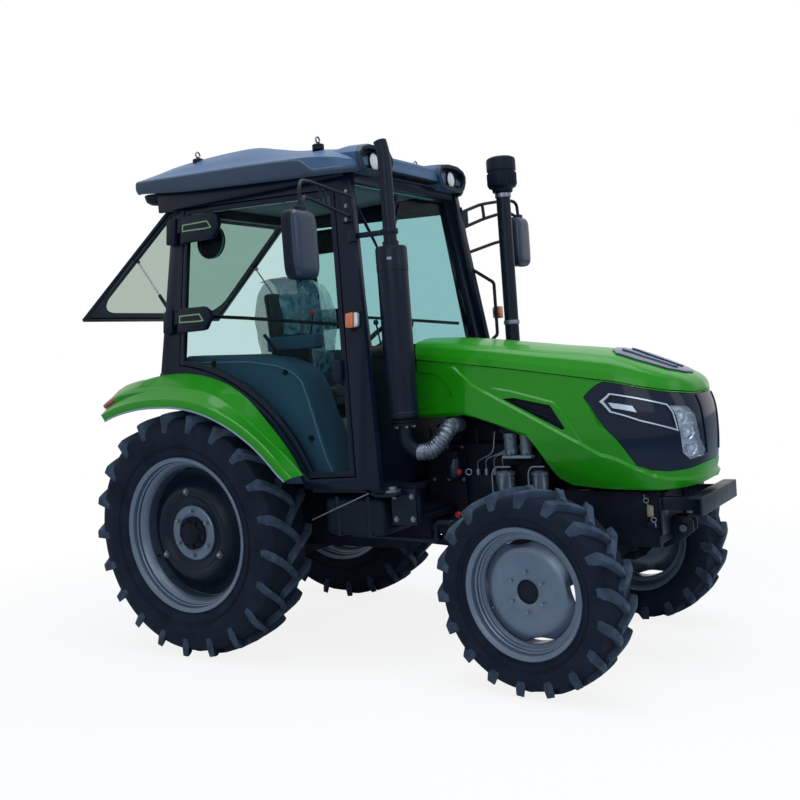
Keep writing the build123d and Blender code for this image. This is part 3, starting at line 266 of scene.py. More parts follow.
def newPiece(name, verts, faces, material, smooth=40):
    mesh = bpy.data.meshes.new(name)
    mesh.from_pydata([tuple(v) for v in verts], [], faces)
    mesh.materials.append(material)
    piece = linked(name, mesh)
    cleanUp(piece, smooth)
    return piece


def cleanUp(piece, smooth=40, merge=0.00005):
    mesh = piece.data
    work = bmesh.new()
    work.from_mesh(mesh)
    bmesh.ops.remove_doubles(work, verts=work.verts, dist=merge)
    bmesh.ops.recalc_face_normals(work, faces=work.faces)
    for face in work.faces:
        face.smooth = smooth > 0
    work.to_mesh(mesh)
    work.free()
    if smooth:
        mesh.set_sharp_from_angle(angle=math.radians(smooth))


def applyModifiers(piece):
    bpy.context.view_layer.update()
    graph = bpy.context.evaluated_depsgraph_get()
    mesh = bpy.data.meshes.new_from_object(piece.evaluated_get(graph), depsgraph=graph)
    piece.modifiers.clear()
    old = piece.data
    piece.data = mesh
    if isinstance(old, bpy.types.Mesh):
        bpy.data.meshes.remove(old)
    return piece


def joined(name, pieces):
    # one object from several, keeping each one's material
    work = bmesh.new()
    materials = []
    for piece in pieces:
        part = bmesh.new()
        part.from_mesh(piece.data)
        for face in part.faces:
            own = piece.data.materials[face.material_index]
            if own not in materials:
                materials.append(own)
            face.material_index = materials.index(own)
        temp = bpy.data.meshes.new("temp")
        part.to_mesh(temp)
        part.free()
        work.from_mesh(temp)
        bpy.data.meshes.remove(temp)
    mesh = bpy.data.meshes.new(name)
    work.to_mesh(mesh)
    work.free()
    for own in materials:
        mesh.materials.append(own)
    for piece in pieces:
        bpy.data.objects.remove(piece)
    return linked(name, mesh)


def mirroredCopy(piece, name):
    mesh = piece.data.copy()
    mesh.transform(Matrix.Diagonal((1, -1, 1, 1)))
    mesh.flip_normals()
    return linked(name, mesh)


def settle(piece, body, slot, *replaced):
    piece.data.transform(toFrame)
    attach(piece, body)
    if replaced:
        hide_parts(*replaced)
    return piece


def settlePair(name, parts, bodies, slot, node=None):
    # the right-hand piece and its mirror image
    right = joined(name + "Right", parts)
    left = mirroredCopy(right, name + "Left")
    for piece, body, side in ((right, bodies[0], "right"), (left, bodies[1], "left")):
        settle(piece, body, slot, *([f"{node}_{side}"] if node else []))


def spunMesh(name, profile, material, segments=96, shape=None, smooth=35):
    # a (radius, y) outline turned about the Y axis; shape(radius, angle) may change the radius
    verts, faces = [], []
    count = len(profile)
    for step in range(segments):
        angle = 2 * math.pi * step / segments
        for radius, y in profile:
            r = shape(radius, angle) if shape else radius
            verts.append((r * math.cos(angle), y, r * math.sin(angle)))
    for step in range(segments):
        a, b = step * count, ((step + 1) % segments) * count
        for i in range(count):
            j = (i + 1) % count
            faces.append((a + i, a + j, b + j, b + i))
    return newPiece(name, verts, faces, material, smooth)


def roundedPath(points, bend, steps=6):
    # a polyline with each inner corner turned into an arc of points
    points = [Vector(p) for p in points]
    route = [points[0]]
    for before, corner, after in zip(points, points[1:], points[2:]):
        toBefore, toAfter = (before - corner), (after - corner)
        reach = min(bend, toBefore.length * 0.49, toAfter.length * 0.49)
        start, end = corner + toBefore.normalized() * reach, corner + toAfter.normalized() * reach
        for i in range(steps + 1):
            t = i / steps
            route.append(start.lerp(corner, t).lerp(corner.lerp(end, t), t))
    route.append(points[-1])
    return route


def tubeMesh(name, points, radius, material, bend=0.03, sides=14, smooth=50):
    # a bent round bar with closed ends
    route = roundedPath(points, bend)
    verts = []
    aim = (route[1] - route[0]).normalized()
    across = aim.orthogonal().normalized()
    for index, point in enumerate(route):
        ahead = (route[min(index + 1, len(route) - 1)] - route[max(index - 1, 0)]).normalized()
        across = (across - ahead * across.dot(ahead)).normalized()
        up = ahead.cross(across)
        wide = radius(index / (len(route) - 1)) if callable(radius) else radius
        for k in range(sides):
            turn = 2 * math.pi * k / sides
            verts.append(point + (across * math.cos(turn) + up * math.sin(turn)) * wide)
    faces = bandFaces(len(route), sides)
    faces.append(tuple(range(sides))[::-1])
    faces.append(tuple((len(route) - 1) * sides + k for k in range(sides)))
    return newPiece(name, verts, faces, material, smooth)


def roundedBlock(name, low, high, material, bevel=0.006, segments=3):
    # a block between two corners with rounded edges
    xs, ys, zs = zip(low, high)
    verts = [(x, y, z) for x in xs for y in ys for z in zs]
    faces = [(0, 1, 3, 2), (4, 6, 7, 5), (0, 4, 5, 1), (2, 3, 7, 6), (0, 2, 6, 4), (1, 5, 7, 3)]
    piece = newPiece(name, verts, faces, material, 0)
    return bevelled(piece, bevel, segments)


def thickQuad(name, corners, shift, material):
    # four corners given thickness by a shift
    verts = [*corners, *(tuple(a + b for a, b in zip(corner, shift)) for corner in corners)]
    faces = [(0, 1, 2, 3), (4, 5, 6, 7), (0, 1, 5, 4), (1, 2, 6, 5), (2, 3, 7, 6), (3, 0, 4, 7)]
    return newPiece(name, verts, faces, material, 0)


def bevelled(piece, width, segments=3, angle=30):
    cut = piece.modifiers.new("edges", "BEVEL")
    cut.width = width
    cut.segments = segments
    cut.limit_method = "ANGLE"
    cut.angle_limit = math.radians(angle)
    cut.harden_normals = False
    applyModifiers(piece)
    cleanUp(piece)
    return piece


def plateMesh(name, outline, axis, low, high, material, bevel=0.002):
    # a flat plate from an outline drawn square to an axis: "x" (y, z), "y" (x, z) or "z" (x, y)
    place = {"x": lambda a, b, t: (t, a, b), "y": lambda a, b, t: (a, t, b), "z": lambda a, b,
             t: (a, b, t)}[axis]
    count = len(outline)
    verts = [place(a, b, t) for t in (low, high) for a, b in outline]
    faces = [tuple(range(count)), tuple(range(count, 2 * count))]
    for i in range(count):
        j = (i + 1) % count
        faces.append((i, j, count + j, count + i))
    piece = newPiece(name, verts, faces, material, 0)
    return bevelled(piece, bevel, 2) if bevel else piece


def softened(node, material, body, width=0.003, segments=2):
    # a copy of a CAD piece with its doubles merged and its hard edges rounded
    mesh = nodes[node].data.copy()
    piece = linked(node + "Soft", mesh)
    work = bmesh.new()
    work.from_mesh(mesh)
    bmesh.ops.remove_doubles(work, verts=work.verts, dist=0.00002)
    bmesh.ops.dissolve_limit(work, angle_limit=math.radians(1), verts=work.verts, edges=work.edges)
    work.to_mesh(mesh)
    work.free()
    mesh.materials.clear()
    mesh.materials.append(material)
    bevelled(piece, width, segments)
    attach(piece, body)
    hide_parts(node)
    return piece


def newTree(name, inputs):
    tree = bpy.data.node_groups.new(name, "GeometryNodeTree")
    tree.interface.new_socket("Geometry", in_out="INPUT", socket_type="NodeSocketGeometry")
    for label, kind in inputs:
        tree.interface.new_socket(label, in_out="INPUT", socket_type=kind)
    tree.interface.new_socket("Geometry", in_out="OUTPUT", socket_type="NodeSocketGeometry")
    return tree, tree.nodes.new("NodeGroupInput"), tree.nodes.new("NodeGroupOutput")


def runTree(piece, tree, **values):
    modifier = piece.modifiers.new(tree.name, "NODES")
    modifier.node_group = tree
    for item in tree.interface.items_tree:
        if item.item_type == "SOCKET" and item.in_out == "INPUT" and item.name in values:
            modifier[item.identifier] = values[item.name]
    return applyModifiers(piece)


def placeCopies(tree, ins, outs, points, shape, turn):
    # puts the shape at the points, turned, as real geometry with its finish
    copies = addNode(tree, "GeometryNodeInstanceOnPoints", {"Points": points.outputs[0],
                                                            "Instance": shape,
                                                            "Rotation": turn.outputs[0]})
    real = addNode(tree, "GeometryNodeRealizeInstances", {"Geometry": copies.outputs[0]})
    paint = addNode(tree, "GeometryNodeSetMaterial", {"Geometry": real.outputs[0],
                                                      "Material": ins.outputs["Finish"]})
    tree.links.new(paint.outputs[0], outs.inputs[0])
    return tree


def wheelRepeatTree():
    # repeats one shape about the Y axis
    tree, ins, outs = newTree("aroundWheel", [("Count", "NodeSocketInt"), ("Phase", "NodeSocketFloat"),
                                              ("Finish", "NodeSocketMaterial")])
    points = addNode(tree, "GeometryNodePoints", {"Count": ins.outputs["Count"]})
    index = addNode(tree, "GeometryNodeInputIndex")
    step = addNode(tree, "ShaderNodeMath", {0: 2 * math.pi, 1: ins.outputs["Count"]}, operation="DIVIDE")
    turn = addNode(tree, "ShaderNodeMath", {0: index.outputs[0], 1: step.outputs[0], 2: ins.outputs["Phase"]},
                   operation="MULTIPLY_ADD")
    spin = addNode(tree, "ShaderNodeCombineXYZ", {"Y": turn.outputs[0]})
    return placeCopies(tree, ins, outs, points, ins.outputs["Geometry"], spin)


def scatterTree():
    # puts one shape at each vertex, its own Z turned to the vertex's "aim"
    tree, ins, outs = newTree("boltsAtPoints", [("Shape", "NodeSocketObject"),
                                                ("Finish", "NodeSocketMaterial")])
    shape = addNode(tree, "GeometryNodeObjectInfo", {"Object": ins.outputs["Shape"]})
    aim = addNode(tree, "GeometryNodeInputNamedAttribute", {"Name": "aim"}, data_type="FLOAT_VECTOR")
    turn = addNode(tree, "FunctionNodeAlignRotationToVector", {"Vector": aim.outputs[0]}, axis="Z")
    points = addNode(tree, "GeometryNodeMeshToPoints", {"Mesh": ins.outputs["Geometry"]})
    return placeCopies(tree, ins, outs, points, shape.outputs["Geometry"], turn)


aroundWheel = wheelRepeatTree()
boltsAtPoints = scatterTree()


def boltShape(radius, height, sides):
    # a headed bolt on a washer, standing on its seat along Z
    washer = radius * 1.5
    rings = [(washer, 0.0), (washer, height * 0.18), (radius * 1.02, height * 0.2),
             (radius, height * 0.85), (radius * 0.82, height), (0.0001, height)]
    verts = []
    for r, z in rings:
        for k in range(sides):
            turn = 2 * math.pi * k / sides
            verts.append((r * math.cos(turn), r * math.sin(turn), z))
    faces = bandFaces(len(rings), sides)
    faces.append(tuple(range(sides))[::-1])
    return newPiece("boltShape", verts, faces, zinc, 20)


def boltRow(name, places, radius, height, material, sides=6):
    # places: (point, direction) pairs
    mesh = bpy.data.meshes.new(name)
    mesh.from_pydata([tuple(place[0]) for place in places], [], [])
    aims = mesh.attributes.new("aim", "FLOAT_VECTOR", "POINT")
    for item, place in zip(aims.data, places):
        item.vector = Vector(place[1])
    row = linked(name, mesh)
    shape = boltShape(radius, height, sides)
    runTree(row, boltsAtPoints, Shape=shape, Finish=material)
    bpy.data.objects.remove(shape)
    cleanUp(row, 25, 0.00001)
    return row


def boltCircle(radius, count, start, y):
    # places on a circle about the Y axis, counted from an angle in degrees
    angles = [math.radians(start + 360 / count * k) for k in range(count)]
    return [((radius * math.cos(a), y, radius * math.sin(a)), (0, 1, 0)) for a in angles]


def carcassProfile(size):
    # the tyre's outside below its lugs, from bead to bead, then back along the inside
    half, bead, flange = size["tyreW"] / 2, size["rimW"] / 2 - 0.009, size["flangeR"]
    crown = size["tyreR"] - size["lugDepth"]
    wall = crown - flange
    side = [(flange - 0.023, bead), (flange + 0.004, bead + 0.001), (flange + 0.010, bead + 0.004),
            (flange + 0.018, bead + 0.006), (flange + wall * 0.18, half * 0.925),
            (flange + wall * 0.34, half * 0.985),
            (flange + wall * 0.52, half), (flange + wall * 0.70, half * 0.985),
            (flange + wall * 0.84, half * 0.935),
            (flange + wall * 0.93, half * 0.84), (crown - 0.008, half * 0.66), (crown - 0.002, half * 0.33)]
    outer = side + [(crown, 0.0)] + [(r, -y) for r, y in reversed(side)]
    thick = 0.024
    inner = [(flange - 0.023, -bead + thick), (flange + wall * 0.5, -half + thick),
             (crown - thick * 1.6, -half * 0.6),
             (crown - thick * 1.6, half * 0.6), (flange + wall * 0.5, half - thick),
             (flange - 0.023, bead - thick)]
    return outer + inner


def lugMesh(size):
    # one bar of the tread: from its nose just past the centre line out over the shoulder
    half, crown, top = size["tyreW"] / 2, size["tyreR"] - size["lugDepth"], size["tyreR"]
    wall, nose = crown - size["flangeR"], size["nose"]
    # share of the bar's length, height of its top above the crown, share of the half width
    course = ((0.0, 0.90, 0.0), (0.05, 0.98, 0.05), (0.25, 1.0, 0.26), (0.5, 0.97, 0.52), (0.74, 0.86, 0.78),
              (0.90, 0.66, 0.955), (0.955, 0.46, 1.0), (1.0, None, 1.0))
    rows = []
    for t, rise, out in course:
        y = nose + (half - nose) * out
        if rise is None:
            cap, base = (crown - wall * 0.36, half * 1.0), (crown - wall * 0.38, half * 0.955)
        else:
            cap = (crown + (top - crown) * rise, min(y, half * 0.997))
            base = (crown - 0.014 - 0.030 * max(0.0, y / half) ** 4, y if out < 0.97 else half * 0.955)
        rows.append((t, cap, base))
    verts, faces = [], []
    for t, (rCap, yCap), (rBase, yBase) in rows:
        arc = size["sweep"] * t ** 0.82 / size["tyreR"]
        wide = size["lugTop"] * (0.46 + 0.08 * t)
        foot, lip = wide + 0.008, 0.0022
        for radius, y, offset in ((rBase, yBase, -foot), (rCap - lip, yCap - lip * 0.4, -wide),
                                  (rCap, yCap, -wide + lip), (rCap, yCap, wide - lip),
                                  (rCap - lip, yCap - lip * 0.4, wide), (rBase, yBase, foot)):
            angle = math.pi / 2 + arc + offset / size["tyreR"]
            verts.append((radius * math.cos(angle), y, radius * math.sin(angle)))
    for i in range(len(rows) - 1):
        for k in range(5):
            faces.append((i * 6 + k, i * 6 + k + 1, (i + 1) * 6 + k + 1, (i + 1) * 6 + k))
    faces.append(tuple(range(6)))
    end = (len(rows) - 1) * 6
    faces.append(tuple(end + k for k in range(6))[::-1])
    return newPiece("lug", verts, faces, lugRubber, 26)


def tyrePiece(size):
    # carcass with rim-guard rings and staggered bars; built for the left side, centred on its own axis
    carcass = spunMesh("carcass", carcassProfile(size), rubberTyre, 144)
    left = lugMesh(size)
    right = mirroredCopy(left, "lugRight")
    pitch = 2 * math.pi / size["lugs"]
    phase = -math.radians(size["phase"])
    runTree(left, aroundWheel, Count=size["lugs"], Phase=phase, Finish=lugRubber)
    runTree(right, aroundWheel, Count=size["lugs"], Phase=phase + pitch / 2, Finish=lugRubber)
    flange, wall = size["flangeR"], size["tyreR"] - size["lugDepth"] - size["flangeR"]
    ringY = size["tyreW"] / 2 * 0.955
    rings = []
    for share in (0.23, 0.27):
        r, y = flange + wall * share, ringY + (share - 0.23) * 0.12
        outline = [(r - 0.004, y - 0.006), (r - 0.0015, y + 0.0012), (r + 0.0015, y + 0.0014),
                   (r + 0.004, y - 0.006)]
        rings.append(spunMesh("guard", outline, rubberTyre, 96))
        rings.append(mirroredCopy(rings[-1], "guardIn"))
    return joined("tyre", [carcass, left, right] + rings)


def rimPiece(size):
    # rolled rim: flange lip, bead seat, stepped ridges and well
    half, plate = size["rimW"] / 2, 0.007
    flange = size["flangeR"]
    seat, well = flange - 0.0243, flange - 0.066
    face = [(flange - 0.001, half - 0.010), (flange, half - 0.003), (flange - 0.004, half + 0.001),
            (flange - 0.011, half - 0.001), (seat - 0.003, half - 0.010), (seat - 0.007, half - 0.018),
            (seat - 0.009, half - 0.036), (seat - 0.016, half - 0.041), (seat - 0.018, half - 0.056),
            (seat - 0.027, half - 0.062), (well - plate + 0.006, half * 0.40), (well - plate, half * 0.32)]
    back = [(well, half * 0.36), (well + 0.006, half * 0.43), (seat - 0.018, half - 0.060),
            (seat - 0.009, half - 0.050),
            (seat - 0.003, half - 0.030), (seat, half - 0.012), (flange - 0.006, half - 0.009)]
    outline = face + [(r, -y) for r, y in reversed(face)]
    outline += [(r, -y) for r, y in reversed(back)] + back
    return spunMesh("rim", outline, rimSilver, 128, smooth=25)


def frontDisc(size):
    # pressed disc with four crescent slots at its edge, and a black hub in its middle hole
    well = size["flangeR"] - 0.0735
    front = [(well, 0.020), (well - 0.006, 0.030), (well - 0.030, 0.040), (0.215, 0.052),
             (0.185, 0.056), (0.162, 0.053), (0.145, 0.049), (0.120, 0.047), (0.062, 0.046),
             (0.060, 0.044)]
    back = [(0.060, 0.036), (0.120, 0.038), (0.150, 0.040), (0.185, 0.046), (well - 0.030, 0.030),
            (well - 0.006, 0.014)]
    slotDepth, slotWide = 0.026, math.radians(19)

    def crescent(radius, angle):
        if radius < well - 0.012:
            return radius
        nearest = (angle - math.radians(9)) % (math.pi / 2)
        off = min(nearest, math.pi / 2 - nearest) / slotWide
        return radius - (slotDepth * math.cos(off * math.pi / 2) if off < 1 else 0.0)

    disc = spunMesh("disc", front + back, rimSilver, 180, crescent, smooth=50)
    bolts = boltRow("wheelBolts", boltCircle(0.098, 6, 90, 0.047), 0.0085, 0.014, zinc)
    hub = spunMesh("hubCap", [(0.058, -0.05), (0.058, 0.034), (0.050, 0.040), (0.022, 0.042),
                              (0.0003, 0.042), (0.0003, -0.05)], castBlack, 48)
    stub = spunMesh("stub", [(0.080, -0.032), (0.080, 0.036), (0.0003, 0.036), (0.0003, -0.032)],
                    castBlack, 48)
    return [disc, bolts, hub, stub]


def valveStem(size, angle, depth):
    # short rubber stem bent out of the well, with a metal cap
    well = size["flangeR"] - 0.073
    out = Vector((math.cos(angle), 0, math.sin(angle)))
    route = [out * well + Vector((0, depth, 0)), out * (well - 0.020) + Vector((0, depth + 0.004, 0)),
             out * (well - 0.026) + Vector((0, depth + 0.038, 0))]
    stem = tubeMesh("stem", route, 0.0055, rubberTyre, 0.012, 10)
    tip = route[-1]
    cap = tubeMesh("cap", [tip, tip + Vector((0, 0.014, 0))], 0.0048, zinc, 0.001, 8)
    return [stem, cap]


def rearDisc(size):
    # black dished disc with a raised ring, three clamp bolts, and the silver hub plate with its bolts
    well = size["flangeR"] - 0.0735
    face = [(well, -0.024), (well - 0.008, -0.012), (0.350, -0.010), (0.325, 0.012), (0.300, 0.044),
            (0.280, 0.068),
            (0.266, 0.079), (0.250, 0.083), (0.234, 0.079), (0.218, 0.062), (0.204, 0.052), (0.165, 0.050)]
    back = [(0.165, 0.038), (0.204, 0.040), (0.222, 0.052), (0.236, 0.066), (0.260, 0.068), (0.290, 0.040),
            (0.318, 0.002), (0.345, -0.022), (well - 0.008, -0.024)]
    disc = spunMesh("blackDisc", face + back, blackPaint, 144, smooth=50)
    plate = spunMesh("hubPlate", [(0.166, 0.044), (0.166, 0.060), (0.160, 0.066), (0.112, 0.064),
                                  (0.108, 0.060),
                                  (0.0003, 0.062), (0.0003, 0.044)], rimSilver, 96)
    flange = spunMesh("hubFlange", [(0.100, 0.050), (0.100, 0.074), (0.094, 0.080), (0.070, 0.082),
                                    (0.064, 0.094),
                                    (0.040, 0.098), (0.0003, 0.098), (0.0003, 0.050)], castBlack, 64)
    shaft = spunMesh("halfShaft", [(0.104, 0.05), (0.104, -0.055), (0.068, -0.098), (0.040, -0.106),
                                   (0.040, -0.206),
                                   (0.0003, -0.206), (0.0003, 0.05)], castBlack, 48)
    bolts = [boltRow("ringBolts", boltCircle(0.134, 6, 28, 0.066), 0.0115, 0.018, zinc),
             boltRow("hubBolts", boltCircle(0.080, 8, 10, 0.081), 0.009, 0.012, castBlack),
             boltRow("clampBolts", boltCircle(0.252, 3, 92, 0.082), 0.016, 0.020, zinc, 4)]
    cap = spunMesh("roundCap", [(0.026, 0.0), (0.026, 0.012), (0.020, 0.020), (0.010, 0.024), (0.0003, 0.025),
                                (0.0003, 0.0)], zinc, 32)
    turn = math.radians(2)
    cap.data.transform(Matrix.Translation((0.362 * math.cos(turn), -0.014, 0.362 * math.sin(turn))))
    return [disc, plate, flange, shaft, cap] + bolts


def placeWheel(piece, size, side, steer):
    sign = sideSign[side]
    if sign < 0:
        piece.data.transform(Matrix.Diagonal((1, -1, 1, 1)))
        piece.data.flip_normals()
    piece.data.transform(Matrix.Translation((size["x"], sign * size["y"], size["z"])))
    if steer:
        pin = Matrix.Translation((size["x"], sign * steering["kingpinY"], 0))
        turn = Matrix.Rotation(math.radians(steering["angle"]), 4, "Z")
        piece.data.transform(pin @ turn @ pin.inverted())


def makeWheels():
    for end, size in (("rear", rearWheel), ("front", frontWheel)):
        tyre = tyrePiece(size)
        rim = rimPiece(size)
        valve = valveStem(size, math.radians(205), -0.005 if end == "front" else 0.02)
        if end == "front":
            wheel = {"tyre": tyre, "rim": joined("rim", [rim] + frontDisc(size) + valve)}
        else:
            wheel = {"tyre": tyre, "rim": joined("rim", [rim] + valve),
                     "wheel_disc": joined("disc", rearDisc(size))}
        for side in ("left", "right"):
            for part, piece in wheel.items():
                copy = linked(f"{part}{end.title()}{side.title()}", piece.data.copy())
                placeWheel(copy, size, side, end == "front")
                slot = {"tyre": "tyre_rubber", "rim": "rim_silver", "wheel_disc": "black_paint"}[part]
                settle(copy, f"wheel_{end}_{side}", slot, f"{part}_{end}_{side}")
        for piece in wheel.values():
            bpy.data.objects.remove(piece)


makeWheels()
print("wheels made")


hoodSize = dict(rear=1.345, noseStart=2.42, noseRun=0.42, roundness=2.8, sheet=0.004, chamfer=0.013,
                bladeStep=0.011, facetStep=0.008, turnUnder=0.016, topGap=0.004,
                fadeFrom=1.50, fadeRun=0.16, rearSag=0.062, sagRun=0.08, cutReach=0.2)
# The nose reach and half width are read by height; the other lines give height along the hood.
hoodLines = dict(
    nose=((0.93, 2.835), (0.98, 2.862), (1.05, 2.880), (1.25, 2.885), (1.37, 2.868), (1.47, 2.812),
          (1.60, 2.70)),
    halfWidth=((0.93, 0.335), (1.0, 0.358), (1.15, 0.372), (1.3, 0.366), (1.45, 0.352), (1.6, 0.338),
               (1.7, 0.330)),
    edge=((1.30, 1.347), (1.55, 1.345), (1.64, 1.352), (1.72, 1.332), (1.86, 1.285), (2.02, 1.222),
          (2.07, 1.165),
          (2.12, 1.085), (2.18, 1.008), (2.25, 0.968), (2.45, 0.946), (2.66, 0.936), (2.87, 0.945),
          (3.10, 0.962)),
    fold=((1.30, 1.362), (1.64, 1.367), (2.02, 1.240), (2.12, 1.110), (2.19, 1.068), (2.27, 1.036),
          (2.40, 0.993),
          (2.50, 0.966), (2.66, 0.950), (2.87, 0.958), (3.10, 0.975)),
    blade=((1.30, 1.88), (1.571, 1.639), (1.706, 1.517), (1.926, 1.399), (2.206, 1.249), (2.328, 1.185),
           (2.437, 1.122), (2.527, 1.063), (2.60, 1.026), (2.70, 1.004), (2.85, 0.998), (3.10, 1.010)),
    facet=((1.706, 1.517), (1.928, 1.474), (2.173, 1.405), (2.211, 1.368), (2.328, 1.185)),
    seam=((1.30, 1.677), (1.628, 1.630), (1.873, 1.594), (2.217, 1.537), (2.431, 1.499), (2.60, 1.455),
          (2.73, 1.432), (2.93, 1.412), (3.10, 1.405)),
    crown=((1.25, 1.797), (1.45, 1.781), (1.71, 1.748), (2.08, 1.693), (2.43, 1.641), (2.58, 1.584),
           (2.70, 1.535), (2.79, 1.498), (2.84, 1.460), (2.868, 1.410)))
hoodOutlines = dict(
    vent=((1.885, 1.428), (1.95, 1.431), (2.158, 1.384), (2.238, 1.262), (2.222, 1.255)),
    inset=((1.30, 1.613), (1.472, 1.584), (1.529, 1.536), (1.580, 1.463), (1.526, 1.432), (1.413, 1.392),
           (1.30, 1.388)),
    bezel=((2.338, 1.418), (2.365, 1.446), (2.431, 1.492), (2.60, 1.447), (2.73, 1.424), (2.93, 1.404),
           (3.20, 1.398), (3.20, 1.066), (2.96, 1.052), (2.84, 1.036), (2.70, 1.030), (2.60, 1.040),
           (2.531, 1.066)),
    lightRing=((2.421, 1.392), (2.446, 1.432), (2.576, 1.399), (2.715, 1.362), (2.742, 1.321), (2.764, 1.226),
               (2.725, 1.238), (2.559, 1.286), (2.444, 1.336)),
    lightBar=((2.437, 1.386), (2.531, 1.363), (2.549, 1.330), (2.455, 1.356)),
    lens=((2.712, 1.357), (2.85, 1.347), (2.905, 1.300), (2.935, 1.180), (2.985, 1.120), (2.965, 1.088),
          (2.84, 1.082), (2.79, 1.118), (2.776, 1.23), (2.752, 1.325)))


def along(points, t):
    # straight interpolation in a short table of (t, value)
    if t <= points[0][0]:
        return points[0][1]
    for (t0, v0), (t1, v1) in zip(points, points[1:]):
        if t <= t1:
            return v0 + (v1 - v0) * (t - t0) / (t1 - t0)
    return points[-1][1]


def eased(points, t):
    # the same table read through a smooth curve
    count = len(points)
    if t <= points[0][0]:
        return points[0][1]
    for i in range(count - 1):
        t0, v0 = points[i]
        t1, v1 = points[i + 1]
        if t <= t1:
            before = points[i - 1] if i else (2 * t0 - t1, 2 * v0 - v1)
            after = points[i + 2] if i + 2 < count else (2 * t1 - t0, 2 * v1 - v0)
            span, u = t1 - t0, (t - t0) / (t1 - t0)
            m0 = (v1 - before[1]) / (t1 - before[0]) * span
            m1 = (after[1] - v0) / (after[0] - t0) * span
            return (v0 * (2 * u ** 3 - 3 * u ** 2 + 1) + m0 * (u ** 3 - 2 * u ** 2 + u)
                    + v1 * (3 * u ** 2 - 2 * u ** 3) + m1 * (u ** 3 - u ** 2))
    return points[-1][1]


def hoodSkin(s, z):
    # a point of the hood's right side: s runs forward and then round the nose to the middle
    size = hoodSize
    wide = eased(hoodLines["halfWidth"], z)
    if s <= size["noseStart"]:
        return Vector((s, -(wide - 0.008 * max(0.0, (1.7 - s) / 0.45)), z))
    turn = min((s - size["noseStart"]) / size["noseRun"], math.pi / 2)
    reach = eased(hoodLines["nose"], z) - size["noseStart"]
    power = 2 / size["roundness"]
    return Vector((size["noseStart"] + reach * math.sin(turn) ** power,
                   -wide * max(0.0, math.cos(turn)) ** power, z))


def hoodNormal(s, z):
    step = 0.002
    ahead = hoodSkin(s + step, z) - hoodSkin(s - step, z)
    up = hoodSkin(s, z + step) - hoodSkin(s, z - step)
    flat = up.cross(ahead)
    return -flat.normalized() if flat.length > 1e-9 else Vector((1, 0, 0))


noseEnd = hoodSize["noseStart"] + hoodSize["noseRun"] * math.pi / 2


def wrapped(s, d, z):
    # flat (s, depth, height) to the hood's skin, d metres outwards
    s = min(s, noseEnd)
    normal = hoodNormal(s, z)
    if s > noseEnd - 0.03:
        normal.y *= (noseEnd - s) / 0.03
        normal.normalize()
    return hoodSkin(s, z) + normal * d


def stations(low, high, step, extra=()):
    count = max(2, round((high - low) / step))
    marks = [low + (high - low) * i / count for i in range(count + 1)]
    marks = [m for m in marks if all(abs(m - e) > step * 0.35 for e in extra)]
    return sorted(marks + [e for e in extra if low < e < high])


def layered(name, columns, rows, thick, material):
    # a solid sheet from a grid of (s, d, z) rows, one list for each column
    count, verts, faces = len(rows[0]), [], []
    for drop in (0.0, thick):
        for row in rows:
            verts += [(s, d - drop, z) for s, d, z in row]
    layer = len(columns) * count
    for i in range(len(columns) - 1):
        for j in range(count - 1):
            a, b = i * count + j, (i + 1) * count + j
            faces.append((a, b, b + 1, a + 1))
            faces.append((layer + a, layer + a + 1, layer + b + 1, layer + b))
    for j in range(count - 1):
        for a in (j, (len(columns) - 1) * count + j):
            faces.append((a, a + 1, layer + a + 1, layer + a))
    for i in range(len(columns) - 1):
        for a in (i * count, i * count + count - 1):
            faces.append((a, a + count, layer + a + count, layer + a))
    return newPiece(name, verts, faces, material, 0)


def carve(piece, outline, mode="DIFFERENCE"):
    # cut a flat sheet with an outline, or keep only what lies inside it
    reach = hoodSize["cutReach"]
    cutter = plateMesh("cutter", outline, "y", -reach, reach, blackPaint, 0)
    cut = piece.modifiers.new("cut", "BOOLEAN")
    cut.operation = mode
    cut.solver = "EXACT"
    cut.object = cutter
    applyModifiers(piece)
    bpy.data.objects.remove(cutter)
    return piece


def wrapSheet(piece):
    # bend a flat sheet on to the hood and give it its mirror image
    for vert in piece.data.vertices:
        vert.co = wrapped(*vert.co)
    cleanUp(piece, 28, 0.00002)
    both = joined(piece.name, [piece, mirroredCopy(piece, "otherSide")])
    cleanUp(both, 28, 0.0002)
    return both


def skinSheet(name, outline, outer, thick, material, step):
    # a sheet of the given outline following the skin, its face set outer metres out
    ss, zs = zip(*outline)
    columns = stations(min(ss) - 0.004, min(max(ss), noseEnd) + (0.004 if max(ss) < noseEnd else 0.0), step)
    levels = stations(min(zs) - 0.004, max(zs) + 0.004, step)
    rows = [[(s, outer, z) for z in levels] for s in columns]
    piece = layered(name, columns, rows, thick, material)
    carve(piece, outline, "INTERSECT")
    return piece


